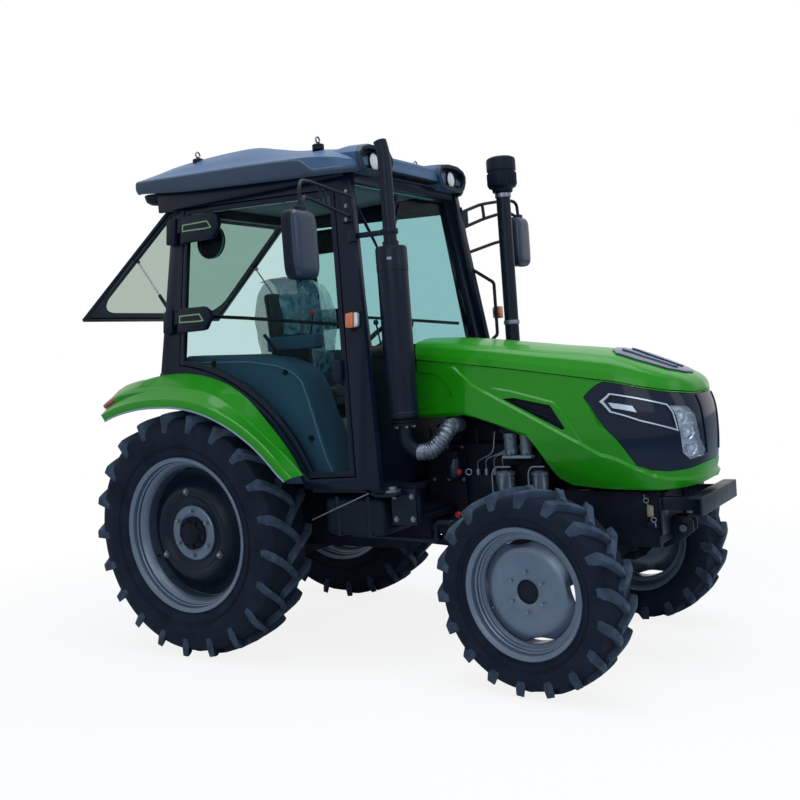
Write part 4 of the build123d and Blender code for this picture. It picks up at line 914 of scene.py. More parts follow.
def hoodSide():
    size, lines = hoodSize, hoodLines
    kinks = [s for key in ("blade", "facet", "seam") for s, z in lines[key]] + [2.02, 2.07, 2.12]
    columns = stations(size["rear"], noseEnd, 0.014, sorted(set(kinks)))
    step1, step2, chamfer = size["bladeStep"], size["facetStep"], size["chamfer"]
    facetFrom, facetTo = lines["facet"][0][0], lines["facet"][-1][0]
    rows = []
    for s in columns:
        low, fold = along(lines["edge"], s), along(lines["fold"], s)
        top = along(lines["seam"], s) - size["topGap"] / 2
        blade = min(along(lines["blade"], s), top - 0.012)
        facet = along(lines["facet"], s) if facetFrom < s < facetTo else blade
        spread = min(1.0, max(0.0, (facet - blade) / 0.05))
        fade = min(1.0, max(0.0, (s - size["fadeFrom"]) / size["fadeRun"]))
        out1, out2 = step1 * fade, step2 * fade
        full, mid = out1 + out2, out2 * spread
        row = [(low, full - size["turnUnder"]), (low + (fold - low) * 0.5, full - size["turnUnder"] * 0.45),
               (fold, full)]
        edge1 = max(blade - chamfer, fold + 0.003)
        row += [(fold + (edge1 - fold) * k / 14, full) for k in range(1, 14)]
        row += [(edge1, full), (blade, mid)]
        edge2 = facet - min(chamfer * 0.8, (facet - blade) * 0.45)
        row += [(blade + (edge2 - blade) * k / 5, mid) for k in range(1, 5)]
        row += [(edge2, mid), (facet, 0.0)]
        row += [(facet + (top - facet) * k / 16, 0.0) for k in range(1, 16)]
        row.append((top, 0.0))
        rows.append([(s, d, z) for z, d in row])
    side = layered("hoodSide", columns, rows, size["sheet"], greenPaint)
    for key in ("vent", "inset", "bezel"):
        carve(side, hoodOutlines[key])
    return wrapSheet(side)


def shrunkOutline(outline, amount):
    # the outline moved inwards by an even margin
    area = sum(a[0] * b[1] - b[0] * a[1] for a, b in zip(outline, outline[1:] + outline[:1]))
    turn = 1 if area > 0 else -1
    result = []
    count = len(outline)
    for i in range(count):
        p, q, r = (Vector(outline[(i + k) % count]) for k in (-1, 0, 1))
        e, f = (q - p).normalized(), (r - q).normalized()
        n1, n2 = Vector((-e.y, e.x)) * turn, Vector((-f.y, f.x)) * turn
        corner = (n1 + n2).normalized()
        result.append(tuple(q + corner * (amount / max(0.35, corner.dot(n1)))))
    return result


def hoodTopPoint(s, v):
    # v runs from the seam, 0, over the shoulder to the middle of the hood, 1
    size, start = hoodSize, hoodSize["noseStart"]
    seam = hoodSkin(s, along(hoodLines["seam"], s) + size["topGap"] / 2)
    share = max(0.0, (s - start) / (noseEnd - start))
    front = hoodLines["crown"][-1][0]
    xMiddle = s if share == 0 else start + (front - start) * math.sin(share * math.pi / 2)
    middle = Vector((xMiddle, 0, eased(hoodLines["crown"], xMiddle)))
    inward = along(((0, 0), (0.12, 0.025), (0.30, 0.085), (0.42, 0.16), (0.52, 0.27), (1, 1)), v)
    upward = along(((0, 0), (0.12, 0.26), (0.30, 0.60), (0.42, 0.745), (0.52, 0.83), (0.7, 0.93),
                    (0.86, 0.985), (1, 1)), v)
    rearSag = size["rearSag"] * max(0.0, 1 - (s - size["rear"]) / size["sagRun"]) * v
    return Vector((seam.x + (middle.x - seam.x) * inward - rearSag, seam.y * (1 - inward),
                   seam.z + (middle.z - seam.z) * upward))


def hoodTop():
    columns = stations(hoodSize["rear"], noseEnd, 0.02)
    levels = stations(0.0, 1.0, 0.033, (0.12, 0.30, 0.42, 0.52))
    verts = [hoodTopPoint(s, v) for s in columns for v in levels]
    count, faces = len(levels), []
    for i in range(len(columns) - 1):
        for j in range(count - 1):
            a, b = i * count + j, (i + 1) * count + j
            faces.append((a, b, b + 1, a + 1))
    piece = newPiece("hoodTop", verts, faces, greenPaint, 0)
    both = joined("hoodTop", [piece, mirroredCopy(piece, "otherHalf")])
    cleanUp(both, 45, 0.0008)
    skin = both.modifiers.new("skin", "SOLIDIFY")
    skin.thickness = hoodSize["sheet"]
    skin.offset = -1
    applyModifiers(both)
    cleanUp(both, 45, 0.00002)
    return both


def drape(piece, target, gap):
    # lower each vertex on to the surface below it, keeping its own height as the distance to it
    tree = BVHTree.FromPolygons([v.co for v in target.data.vertices],
                                [p.vertices for p in target.data.polygons])
    for vert in piece.data.vertices:
        hit = tree.ray_cast(Vector((vert.co.x, vert.co.y, 3.5)), Vector((0, 0, -1)))[0]
        base = hit.z if hit else eased(hoodLines["crown"], vert.co.x) - 0.05
        vert.co.z += base + gap
    return piece


def topPanel(name, outline, height, step, material, target, bevel=0.004):
    # a raised panel of the given plan lying on the hood's top
    xs, ys = zip(*outline)
    columns, levels = stations(min(xs), max(xs), step), stations(min(ys), max(ys), step)
    rows = [[(x, 0.0, y) for y in levels] for x in columns]
    piece = layered(name, columns, rows, height, material)
    carve(piece, outline, "INTERSECT")
    for vert in piece.data.vertices:
        x, d, y = vert.co
        vert.co = (x, y, d + height)
    drape(piece, target, 0.001)
    cleanUp(piece, 40)
    return bevelled(piece, bevel, 2, 35)


def makeHood():
    side, top = hoodSide(), hoodTop()
    inset = wrapSheet(skinSheet("hoodInset", shrunkOutline(hoodOutlines["inset"], 0.002), -0.006, 0.004,
                                greenPaint, 0.03))
    backing = wrapSheet(skinSheet("ventBacking", shrunkOutline(hoodOutlines["vent"], -0.02), -0.030, 0.004,
                                  blackPlastic, 0.03))
    slats = []
    for k in range(3):
        lift = 0.035 * k
        slat = [(1.90 + lift, 1.415 - lift * 0.9), (1.905 + lift, 1.421 - lift * 0.9),
                (2.24, 1.345 - lift * 1.2),
                (2.24, 1.338 - lift * 1.2)]
        slats.append(wrapSheet(skinSheet("ventSlat", slat, -0.008, 0.014, blackPlastic, 0.03)))
    shell = joined("hoodShell", [side, top, inset, backing] + slats)
    settle(shell, "hood", "green_paint", "hood_shell")
    makeScoop(shell)
    makeBezel()


scoopBlue = finishMaterial("scoopBlue", (0.012, 0.042, 0.100), (0.009, 0.033, 0.080), 0.34, scale=4.0,
                           bump=0.03, dusty=0.02, coat=0.5, coatRough=0.08, specular=0.15)


def makeScoop(target):
    outline = [(2.405, 0.0), (2.42, -0.11), (2.475, -0.205), (2.56, -0.205), (2.72, -0.150), (2.785, -0.075),
               (2.80, 0.0), (2.785, 0.075), (2.72, 0.150), (2.56, 0.205), (2.475, 0.205), (2.42, 0.11)]
    outline = [(x + axleX, y) for x, y in outline]
    base = topPanel("scoopBase", outline, 0.008, 0.022, scoopBlue, target, 0.003)
    ribs = []
    for y in (-0.075, 0.075):
        rib = [(2.475 + axleX, y - 0.022), (2.725 + axleX, y * 0.62 - 0.014), (2.740 + axleX, y * 0.62),
               (2.725 + axleX, y * 0.62 + 0.014), (2.475 + axleX, y + 0.022), (2.460 + axleX, y)]
        ribs.append(topPanel("scoopRib", rib, 0.015, 0.022, scoopBlue, target, 0.003))
    scoop = joined("hoodScoop", [base] + ribs)
    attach(scoop, "hood")
    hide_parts("hood_scoop")


def makeBezel():
    shutLine = 0.0025
    face = skinSheet("bezelFace", shrunkOutline(hoodOutlines["bezel"], shutLine), -0.002, 0.006, glossBlack,
                     0.02)
    carve(face, hoodOutlines["lens"])
    parts = [wrapSheet(face)]
    frameRing = skinSheet("lightFrame", shrunkOutline(hoodOutlines["lightRing"], -0.004), 0.004, 0.008,
                          glossBlack, 0.02)
    carve(frameRing, shrunkOutline(hoodOutlines["lightRing"], 0.016))
    parts.append(wrapSheet(frameRing))
    for name, outer in (("lightRing", 0.0065), ("lightBar", 0.004)):
        strip = skinSheet(name, hoodOutlines[name], outer, 0.008, drlSilver, 0.02)
        if name == "lightRing":
            carve(strip, shrunkOutline(hoodOutlines[name], 0.007))
        parts.append(wrapSheet(strip))
    ribs = [(2.965, 1.395), (2.975, 1.395), (3.01, 1.10), (3.0, 1.10)]
    parts.append(wrapSheet(skinSheet("noseRib", ribs, 0.004, 0.006, glossBlack, 0.02)))
    bezel = joined("noseBezel", parts)
    settle(bezel, "hood", "gloss_black", "nose_bezel")
    lens = skinSheet("lensCover", shrunkOutline(hoodOutlines["lens"], 0.001), -0.001, 0.003, clearLens, 0.02)
    well = skinSheet("lampWell", shrunkOutline(hoodOutlines["lens"], 0.001), -0.030, 0.004, lampClear, 0.02)
    lamp = [wrapSheet(lens), wrapSheet(well)]
    for s, z, radius in ((2.795, 1.295, 0.034), (2.840, 1.215, 0.036), (2.865, 1.135, 0.034)):
        lamp += reflector(s, z, radius)
    for k in range(5):
        z = 1.11 + 0.05 * k
        fin = [(2.775 - 0.012 * k, z), (2.93 - 0.010 * k, z - 0.004), (2.93 - 0.010 * k, z + 0.002),
               (2.775 - 0.012 * k, z + 0.006)]
        lamp.append(wrapSheet(skinSheet("lampFin", fin, -0.010, 0.018, lampClear, 0.02)))
    settle(joined("headLamps", lamp), "hood", "lamp_clear", "headlamps")


def reflector(s, z, radius):
    # a bright bowl with its round lens, turned to face out of the skin
    bowl = spunMesh("bowl", [(radius, 0.0), (radius * 0.98, 0.003), (radius * 0.86, -0.002),
                             (radius * 0.62, -0.018),
                             (0.0003, -0.022), (0.0003, -0.026), (radius * 0.66, -0.022), (radius, -0.004)],
                    chrome, 32)
    bulb = spunMesh("bulb", [(radius * 0.52, -0.020), (radius * 0.52, -0.004), (radius * 0.38, 0.004),
                             (0.0003, 0.008), (0.0003, -0.020)], lampClear, 32)
    both = joined("reflector", [bowl, bulb])
    normal = hoodNormal(s, z)
    turn = Vector((0, 1, 0)).rotation_difference(normal).to_matrix().to_4x4()
    both.data.transform(Matrix.Translation(hoodSkin(s, z) - normal * 0.010) @ turn)
    return [both, mirroredCopy(both, "reflectorLeft")]


makeHood()
print("hood made")


# the roof's half width and heights, read by the distance from the rear axle
roofLines = dict(
    half=((-0.415, 0.660), (-0.40, 0.690), (-0.36, 0.704), (0.0, 0.705), (0.48, 0.705), (0.77, 0.702),
          (1.10, 0.690),
          (1.19, 0.650), (1.225, 0.600)),
    low=((-0.415, 2.834), (-0.34, 2.826), (0.0, 2.786), (0.48, 2.752), (0.90, 2.724), (1.13, 2.712),
         (1.225, 2.716)),
    crease=((-0.415, 2.898), (-0.349, 2.897), (0.0, 2.879), (0.319, 2.863), (0.623, 2.846), (0.897, 2.822),
            (0.936, 2.799), (0.985, 2.760), (1.05, 2.752), (1.225, 2.748)),
    shoulder=((-0.415, 2.905), (0.0, 2.888), (0.48, 2.864), (0.77, 2.846), (0.95, 2.832), (1.13, 2.806),
              (1.225, 2.782)),
    top=((-0.415, 2.952), (-0.38, 2.968), (-0.2, 2.996), (0.0, 3.010), (0.25, 3.012), (0.46, 3.002),
         (0.60, 2.970),
         (0.77, 2.930), (1.0, 2.896), (1.13, 2.872), (1.225, 2.836)))
podOutline = ((0.258, 2.795), (0.264, 2.832), (0.292, 2.866), (0.395, 2.880), (0.505, 2.878), (0.570, 2.858),
              (0.602, 2.824), (0.598, 2.780), (0.572, 2.734), (0.530, 2.716), (0.350, 2.716), (0.292, 2.736))
roofBand = finishMaterial("roofBand", (0.036, 0.060, 0.098), (0.028, 0.048, 0.082), 0.42, scale=3.0,
                          bump=0.06, grain=600, dusty=0.05, dustTop=4.0, coat=0.1, coatRough=0.2,
                          specular=0.2)


def loftMesh(name, rings, materials, smooth):
    # rings of equal point counts joined in turn, one material for each band
    count = len(rings[0])
    verts = [tuple(p) for ring in rings for p in ring]
    faces, picks = bandFaces(len(rings), count), []
    for own in materials:
        picks += own if isinstance(own, list) else [own] * count
    faces += [tuple(range(count)), tuple(range((len(rings) - 1) * count, len(rings) * count))]
    picks += [own[0] if isinstance(own, list) else own for own in (materials[0], materials[-1])]
    mesh = bpy.data.meshes.new(name)
    mesh.from_pydata(verts, [], faces)
    used = []
    for face, own in zip(mesh.polygons, picks):
        if own not in used:
            used.append(own)
        face.material_index = used.index(own)
    for own in used:
        mesh.materials.append(own)
    piece = linked(name, mesh)
    cleanUp(piece, smooth)
    return piece


def turned(name, profile, base, aim, material, segments=40, smooth=35):
    # a (radius, distance) outline turned about the line that starts at base and points along aim
    piece = spunMesh(name, profile, material, segments, smooth=smooth)
    turn = Vector((0, 1, 0)).rotation_difference(Vector(aim).normalized()).to_matrix().to_4x4()
    piece.data.transform(Matrix.Translation(base) @ turn)
    return piece


def roofSection(x, inset=0.0):
    half, low, crease, shoulder, top = (eased(roofLines[key], x) for key in ("half", "low", "crease",
                                                                             "shoulder", "top"))
    shoulder = max(shoulder, crease + 0.010)
    rise = top - shoulder
    ceiling = max(low + 0.022, 2.752)
    outline = [(0.0, top), (half * 0.4, top - 0.002), (half - 0.205, top - 0.008),
               (half - 0.175, top - rise * 0.14),
               (half - 0.095, top - rise * 0.56), (half - 0.075, top - rise * 0.68),
               (half - 0.026, shoulder + 0.002),
               (half - 0.012, shoulder - 0.004), (half - 0.009, crease + 0.003),
               (half - 0.002, crease - 0.006),
               (half, (crease + low) / 2), (half - 0.006, low + 0.012), (half - 0.018, low + 0.001),
               (half - 0.034, low), (half - 0.046, low + 0.006), (half - 0.050, ceiling), (0.0, ceiling)]
    middleZ = (top + low) / 2
    outline = [(max(0.0, y - inset), z + (inset if z < middleZ else -inset)) for y, z in outline]
    right = [(x, -y, z) for y, z in outline]
    left = [(x, y, z) for y, z in outline[1:-1]]
    return right + left[::-1]


def roofPod():
    def ring(x, grow, lift=0.0, depth=1.0):
        shape = shrunkOutline(podOutline, grow)
        return [(x, y, 2.80 + (z - 2.80) * depth + lift) for y, z in shape]
    rings = [ring(0.93, 0.045, -0.01), ring(1.03, 0.010, 0.012), ring(1.12, 0.0, 0.010),
             ring(1.22, 0.0, 0.002),
             ring(1.243, 0.001), ring(1.249, 0.006), ring(1.249, 0.022), ring(1.245, 0.026),
             ring(1.214, 0.030)]
    shades = [roofPlastic] * 3 + [roofBand] * 2 + [blackPlastic] * 3
    pod = loftMesh("roofPod", rings, shades, 32)
    return [pod, mirroredCopy(pod, "roofPodRight")]


def makeRoof():
    marks = stations(-0.409, 1.219, 0.03, (0.897, 0.936, 0.985))
    rings = [roofSection(-0.415, 0.012)] + [roofSection(x) for x in marks] + [roofSection(1.225, 0.010)]
    count = len(rings[0])
    band = [roofPlastic] * count
    for j in list(range(8, 16)) + list(range(count - 16, count - 8)):
        band[j] = roofBand if j in range(8, 12) or j in range(count - 12, count - 8) else blackPlastic
    band[15] = band[16] = band[count - 17] = blackPlastic
    parts = [loftMesh("roofSkin", rings, [band] * (len(rings) - 1), 24)] + roofPod()
    # on each side: a seam along the rear of the top, two eyes on pads and a dome under the rear corner
    for side in (-1, 1):
        parts.append(tubeMesh("roofSeam", [(-0.30, side * 0.46, 2.980), (0.0, side * 0.475, 3.003),
                                           (0.30, side * 0.475, 3.003)], 0.0022, roofPlastic, 0.1, 8))
        for x, top in ((0.921, 2.916), (0.0, 2.992)):
            pad = [(0.034, -0.020), (0.034, 0.008), (0.027, 0.012), (0.009, 0.014), (0.008, 0.024),
                   (0.0003, 0.024),
                   (0.0003, -0.020)]
            parts.append(turned("eyePad", pad, (x, side * 0.528, top), (0, 0, 1), blackPlastic, 28))
            ring = ringProfile(0.017, 0.0052)
            parts.append(turned("eyeRing", ring, (x, side * 0.528, top + 0.036), (1, 0, 0), zinc, 28))
        dome = [(0.080, 0.0), (0.078, 0.018), (0.068, 0.040), (0.045, 0.054), (0.0003, 0.060), (0.0003, 0.0)]
        parts.append(turned("roofDome", dome, (-0.325, side * 0.575, 2.822), (0, 0, -1), blackPlastic, 36))
    roof = joined("roofMade", parts)
    settle(roof, "chassis", "roof_plastic", "roof")


def roundLamp(name, place, aim, radius, depth):
    # a dark rim, a bright bowl and a slightly domed lens
    rim = [(radius, 0.0), (radius, depth), (radius * 0.93, depth + 0.002), (radius * 0.87, depth),
           (radius * 0.86, depth * 0.4), (0.0003, depth * 0.3), (0.0003, 0.0)]
    lens = [(radius * 0.87, depth * 0.55), (radius * 0.86, depth * 0.85), (radius * 0.6, depth * 1.02),
            (0.0003, depth * 1.08), (0.0003, depth * 0.55)]
    return [turned(name + "Rim", rim, place, aim, blackPlastic, 40),
            turned(name + "Lens", lens, place, aim, workLens, 40)]


workLens = finishMaterial("workLens", (0.70, 0.72, 0.74), (0.52, 0.55, 0.58), 0.20, scale=40.0, contrast=0.5,
                          bump=0.25, grain=120, dusty=0.0, metal=0.1, coat=0.9)
makeRoof()
print("roof made")


# distance from the rear axle against the angle round it, for three lines along the fender
fenderLines = dict(
    outer=((20, 0.955), (26.1, 0.909), (50.4, 0.834), (72.7, 0.808), (95.6, 0.819), (112.9, 0.869),
           (127.8, 0.941),
           (131, 0.958)),
    crease=((20, 0.965), (23.5, 0.947), (39.1, 0.868), (56.7, 0.851), (70.7, 0.866), (89.3, 0.875),
            (110.2, 0.938),
            (128, 0.996), (131, 1.0)),
    inner=((20, 0.940), (24.2, 0.912), (45.6, 0.876), (64.9, 0.909), (85.9, 0.941), (102.9, 0.98),
           (115.6, 1.025),
           (123.6, 1.050), (131, 1.050)))
fenderSize = dict(first=21.5, last=128.5, sheet=0.006, lip=0.052, outerY=0.948, creaseY=0.862)


def fenderPoint(angle, t, lift=0.0):
    # t runs over the fender from its outer edge, 0, over the crease, 0.45, to the cab wall, 1
    outer, crease, inner = (eased(fenderLines[key], angle) for key in ("outer", "crease", "inner"))
    size = fenderSize
    radius = along(((-0.2, outer - size["lip"]), (-0.02, outer - 0.010), (0.0, outer - 0.002),
                    (0.04, outer + 0.004),
                    (0.10, outer + 0.25 * (crease - outer)), (0.42, crease - 0.003), (0.45, crease),
                    (0.48, crease + 0.04 * (inner - crease)), (1.0, inner)), t) + (lift if t > -0.02 else 0.0)
    turn = math.radians(angle)
    x, z = radius * math.cos(turn), rearWheel["z"] + radius * math.sin(turn)
    wall = 0.732 + max(0.0, 1.70 - z) * 0.12
    y = along(((-0.2, size["outerY"]), (-0.02, size["outerY"]), (0.0, size["outerY"] - 0.002),
               (0.04, size["outerY"] - 0.010), (0.10, size["outerY"] - 0.026), (0.45, size["creaseY"]),
               (1.0, wall)), t) + (lift if t < 0.04 else 0.0)
    return Vector((x, -y, z))


def fenderPatch(name, angles, levels, low, high, material):
    # a closed block lying on the fender between two heights above its skin
    count, verts, faces = len(levels), [], []
    for lift in (high, low):
        verts += [fenderPoint(a, t, lift(a) if callable(lift) else lift) for a in angles for t in levels]
    layer = len(angles) * count
    for i in range(len(angles) - 1):
        for j in range(count - 1):
            a, b = i * count + j, (i + 1) * count + j
            faces += [(a, b, b + 1, a + 1), (layer + a, layer + a + 1, layer + b + 1, layer + b)]
        for a in (i * count, i * count + count - 1):
            faces.append((a, a + count, layer + a + count, layer + a))
    for j in range(count - 1):
        for a in (j, (len(angles) - 1) * count + j):
            faces.append((a, a + 1, layer + a + 1, layer + a))
    return newPiece(name, verts, faces, material, 0)


def makeFender():
    size = fenderSize
    angles = stations(size["first"], size["last"], 1.6)
    levels = [-0.2, -0.12, -0.02, 0.0, 0.04, 0.10, 0.18, 0.26, 0.34, 0.42, 0.45, 0.48, 0.58, 0.7, 0.85, 1.0]
    skin = fenderPatch("fenderSkin", angles, levels, -size["sheet"], 0.0, greenPaint)
    cleanUp(skin, 28)
    parts = [skin]
    edge = [fenderPoint(a, -0.2, -0.002) for a in stations(size["first"], size["last"], 2.5)]
    parts.append(tubeMesh("fenderTrim", edge, 0.0058, trimGrey, 0.01, 10))
    # the tail lamp closes the rear end of the raised band
    lamp = fenderPatch("tailLamp", stations(121.5, 128.8, 1.0), [0.30, 0.36, 0.45, 0.6, 0.75, 0.84], 0.002,
                       0.034, lampRed)
    base = fenderPatch("tailLampBase", stations(106.0, 122.0, 1.0), [0.27, 0.36, 0.45, 0.6, 0.75, 0.87],
                       -0.002,
                       lambda angle: 0.001 + 0.031 * min(1.0, (angle - 106) / 15), greenPaint)
    parts += [bevelled(lamp, 0.008, 3, 40), bevelled(base, 0.008, 3, 40)]
    lens = fenderPatch("tailLens", stations(123.0, 124.2, 0.6), [0.31, 0.36, 0.45, 0.6, 0.75, 0.83], 0.020,
                       0.0355, lampAmber)
    parts.append(lens)
    settlePair("fender", parts, ("chassis", "chassis"), "green_paint", "rear_fender")


trimGrey = finishMaterial("trimGrey", (0.22, 0.29, 0.38), (0.17, 0.23, 0.31), 0.45, scale=9.0, bump=0.05,
                          dusty=0.1, dustTop=2.0)
makeFender()
print("fenders made")


slateShell = finishMaterial("slateShell", (0.014, 0.030, 0.062), (0.011, 0.024, 0.052), 0.38, scale=5.0,
                            bump=0.10, grain=500, dusty=0.04, dustTop=3.0, coat=0.3, coatRough=0.15,
                            specular=0.2)
paleGreen = finishMaterial("paleGreen", (0.20, 0.34, 0.16), (0.16, 0.28, 0.13), 0.35, scale=9.0, bump=0.0,
                           dusty=0.0)
flexSilver = finishMaterial("flexSilver", (0.150, 0.180, 0.230), (0.080, 0.100, 0.135), 0.40, scale=22.0,
                            contrast=0.8,
                            bump=0.20, grain=200, dusty=0.15, metal=0.7)
mirrorGlass = finishMaterial("mirrorGlass", (0.80, 0.84, 0.88), (0.74, 0.78, 0.82), 0.04, scale=2.0, bump=0.0,
                             dusty=0.02, metal=1.0)
doorHinge = dict(x=-0.1165, y=0.7482, z=1.74986, leanX=0.0391, leanY=-0.12)


def wallY(z):
    return 0.730 + (1.70 - z) * 0.12


def wallPlate(name, outline, low, high, material, bevel=0.004):
    # a plate standing on the right cab wall, from low to high above its outside
    piece = plateMesh(name, outline, "y", low, high, material, bevel)
    for vert in piece.data.vertices:
        vert.co.y = -(wallY(vert.co.z) + vert.co.y)
    cleanUp(piece, 35)
    return piece


def ringPlate(name, outline, width, low, high, material):
    # a flat band following an outline on the cab wall
    inner = shrunkOutline(outline, width)
    verts = []
    for level in (low, high):
        for shape in (outline, inner):
            verts += [(x, -(wallY(z) + level), z) for x, z in shape]
    return newPiece(name, verts, frameFaces(len(outline)), material, 30)


def hingeX(z):
    return doorHinge["x"] + (z - doorHinge["z"]) * doorHinge["leanX"]


def makeDoors():
    moving, fixed = [], []
    for low, high, front in ((2.482, 2.648, 0.245), (1.940, 2.088, 0.185)):
        start, middleZ = hingeX(low) + 0.022, (low + high) / 2
        cover = [(start, low), (start + 0.006, high), (front - 0.055, high - 0.004),
                 (front - 0.010, high - 0.034),
                 (front, middleZ - 0.004), (front - 0.040, low + 0.004), (front - 0.070, low)]
        moving.append(wallPlate("hingeCover", cover, 0.004, 0.042, blackPlastic, 0.009))
        label = [(start + 0.020, middleZ - 0.014), (start + 0.022, middleZ + 0.030),
                 (front - 0.085, middleZ + 0.030),
                 (front - 0.048, middleZ - 0.018), (front - 0.100, middleZ - 0.020)]
        moving.append(ringPlate("hingeLine", label, 0.0075, 0.0405, 0.0435, paleGreen))
        back = [(hingeX(low) - 0.100, low + 0.006), (hingeX(low) - 0.100, high - 0.020),
                (hingeX(low) - 0.075, high),
                (hingeX(high) - 0.026, high), (hingeX(low) - 0.026, low)]
        fixed.append(wallPlate("hingeFoot", back, 0.001, 0.040, blackPlastic, 0.008))
    bar = tubeMesh("insideBar", [(0.02, -0.650, 2.035), (0.389, -0.655, 1.991), (0.795, -0.655, 1.935),
                                 (1.085, -0.655, 1.893)], 0.0105, blackPlastic, 0.05)
    grip = [(1.075, 1.585), (1.078, 1.70), (1.128, 1.70), (1.132, 1.585)]
    moving += [bar, wallPlate("doorPull", grip, 0.001, 0.030, blackPlastic, 0.008),
               wallPlate("doorLock", [(1.085, 1.535), (1.085, 1.575), (1.125, 1.575), (1.125, 1.535)], 0.001,
                         0.014,
                         blackPaint, 0.004)]
    settlePair("doorTrim", moving, ("door_right", "door_left"), "frame_black")
    settlePair("hingeFeet", fixed, ("chassis", "chassis"), "frame_black")
    softened("door_frame_right", cabBlack, "door_right", 0.003)
    softened("door_frame_left", cabBlack, "door_left", 0.003)
    softened("cab_frame", cabBlack, "chassis", 0.004)


def mirrorHead(side, low, high):
    middleY, middleZ = side * 1.235, (low + high) / 2
    halfY, halfZ = 0.105, (high - low) / 2

    def ring(x, inset, lean=0.0):
        points = []
        for k in range(28):
            turn = 2 * math.pi * (k + 0.5) / 28
            wide, tall = halfY - inset, halfZ - inset
            c, s = math.cos(turn), math.sin(turn)
            power = 2 / 6.0
            points.append((x + lean * s, middleY + math.copysign(abs(c) ** power, c) * wide,
                           middleZ + math.copysign(abs(s) ** power, s) * tall))
        return points
    rings = [ring(1.263, 0.010), ring(1.262, 0.002), ring(1.270, 0.0), ring(1.305, 0.0), ring(1.320, 0.006),
             ring(1.332, 0.018), ring(1.338, 0.036), ring(1.340, 0.060)]
    shell = loftMesh("mirrorShell", rings, [blackPlastic] * 4 + [slateShell] * 3, 40)
    glass = loftMesh("mirrorPane", [ring(1.2635, 0.012), ring(1.2605, 0.013)], [mirrorGlass], 30)
    socket = roundedBlock("mirrorSocket", (1.285, middleY - 0.030, high - 0.012),
                          (1.318, middleY + 0.030, high + 0.018),
                          blackPlastic, 0.005)
    return [shell, glass, socket]


def makeMirrors():
    parts = mirrorHead(-1, 2.100, 2.440) + mirrorHead(1, 2.270, 2.610)
    arms = (
        ((1.190, -0.640, 2.585), (1.262, -1.10, 2.600), (1.285, -1.190, 2.590), (1.300, -1.225, 2.540),
         (1.300, -1.228, 2.440)),
        ((1.186, -0.652, 2.475), (1.250, -1.10, 2.520), (1.285, -1.175, 2.515), (1.300, -1.205, 2.440)),
        ((1.215, -0.90, 2.594), (1.222, -0.90, 2.500)),
        ((1.222, -0.955, 2.596), (1.229, -0.955, 2.505)),
        ((1.130, 0.640, 2.600), (1.185, 0.90, 2.685), (1.260, 1.140, 2.725), (1.300, 1.215, 2.715),
         (1.300, 1.228, 2.610)),
        ((1.130, 0.652, 2.500), (1.198, 0.90, 2.586), (1.270, 1.120, 2.645), (1.300, 1.195, 2.610)),
        ((1.150, 0.672, 2.340), (1.230, 1.00, 2.430), (1.290, 1.150, 2.455)),
        ((1.196, 0.90, 2.688), (1.204, 0.90, 2.588)))
    for k, path in enumerate(arms):
        parts.append(tubeMesh("mirrorArm", path, 0.009 if k < 4 else 0.011, blackPaint, 0.05, 12))
    strap = [(1.142, 0.70, 2.520), (1.142, 0.70, 2.618), (1.152, 0.755, 2.632), (1.152, 0.755, 2.540)]
    parts.append(bevelled(thickQuad("ladderStrap", strap, (0.010, 0, 0), blackPaint), 0.002, 2))
    root = [(1.135, 2.445), (1.128, 2.640), (1.190, 2.640), (1.200, 2.445)]
    plate = wallPlate("mirrorRoot", root, 0.0, 0.010, blackPaint, 0.003)
    bolts = boltRow("mirrorBolts", [((1.160, -(wallY(z) + 0.010), z), (0, -1, 0)) for z in (2.46, 2.535,
                                                                                            2.615)],
                    0.008, 0.007, zinc)
    parts += [plate, mirroredCopy(plate, "mirrorRootLeft"), bolts, mirroredCopy(bolts, "mirrorBoltsLeft")]
    settle(joined("mirrorsMade", parts), "chassis", "black_plastic", "mirrors")


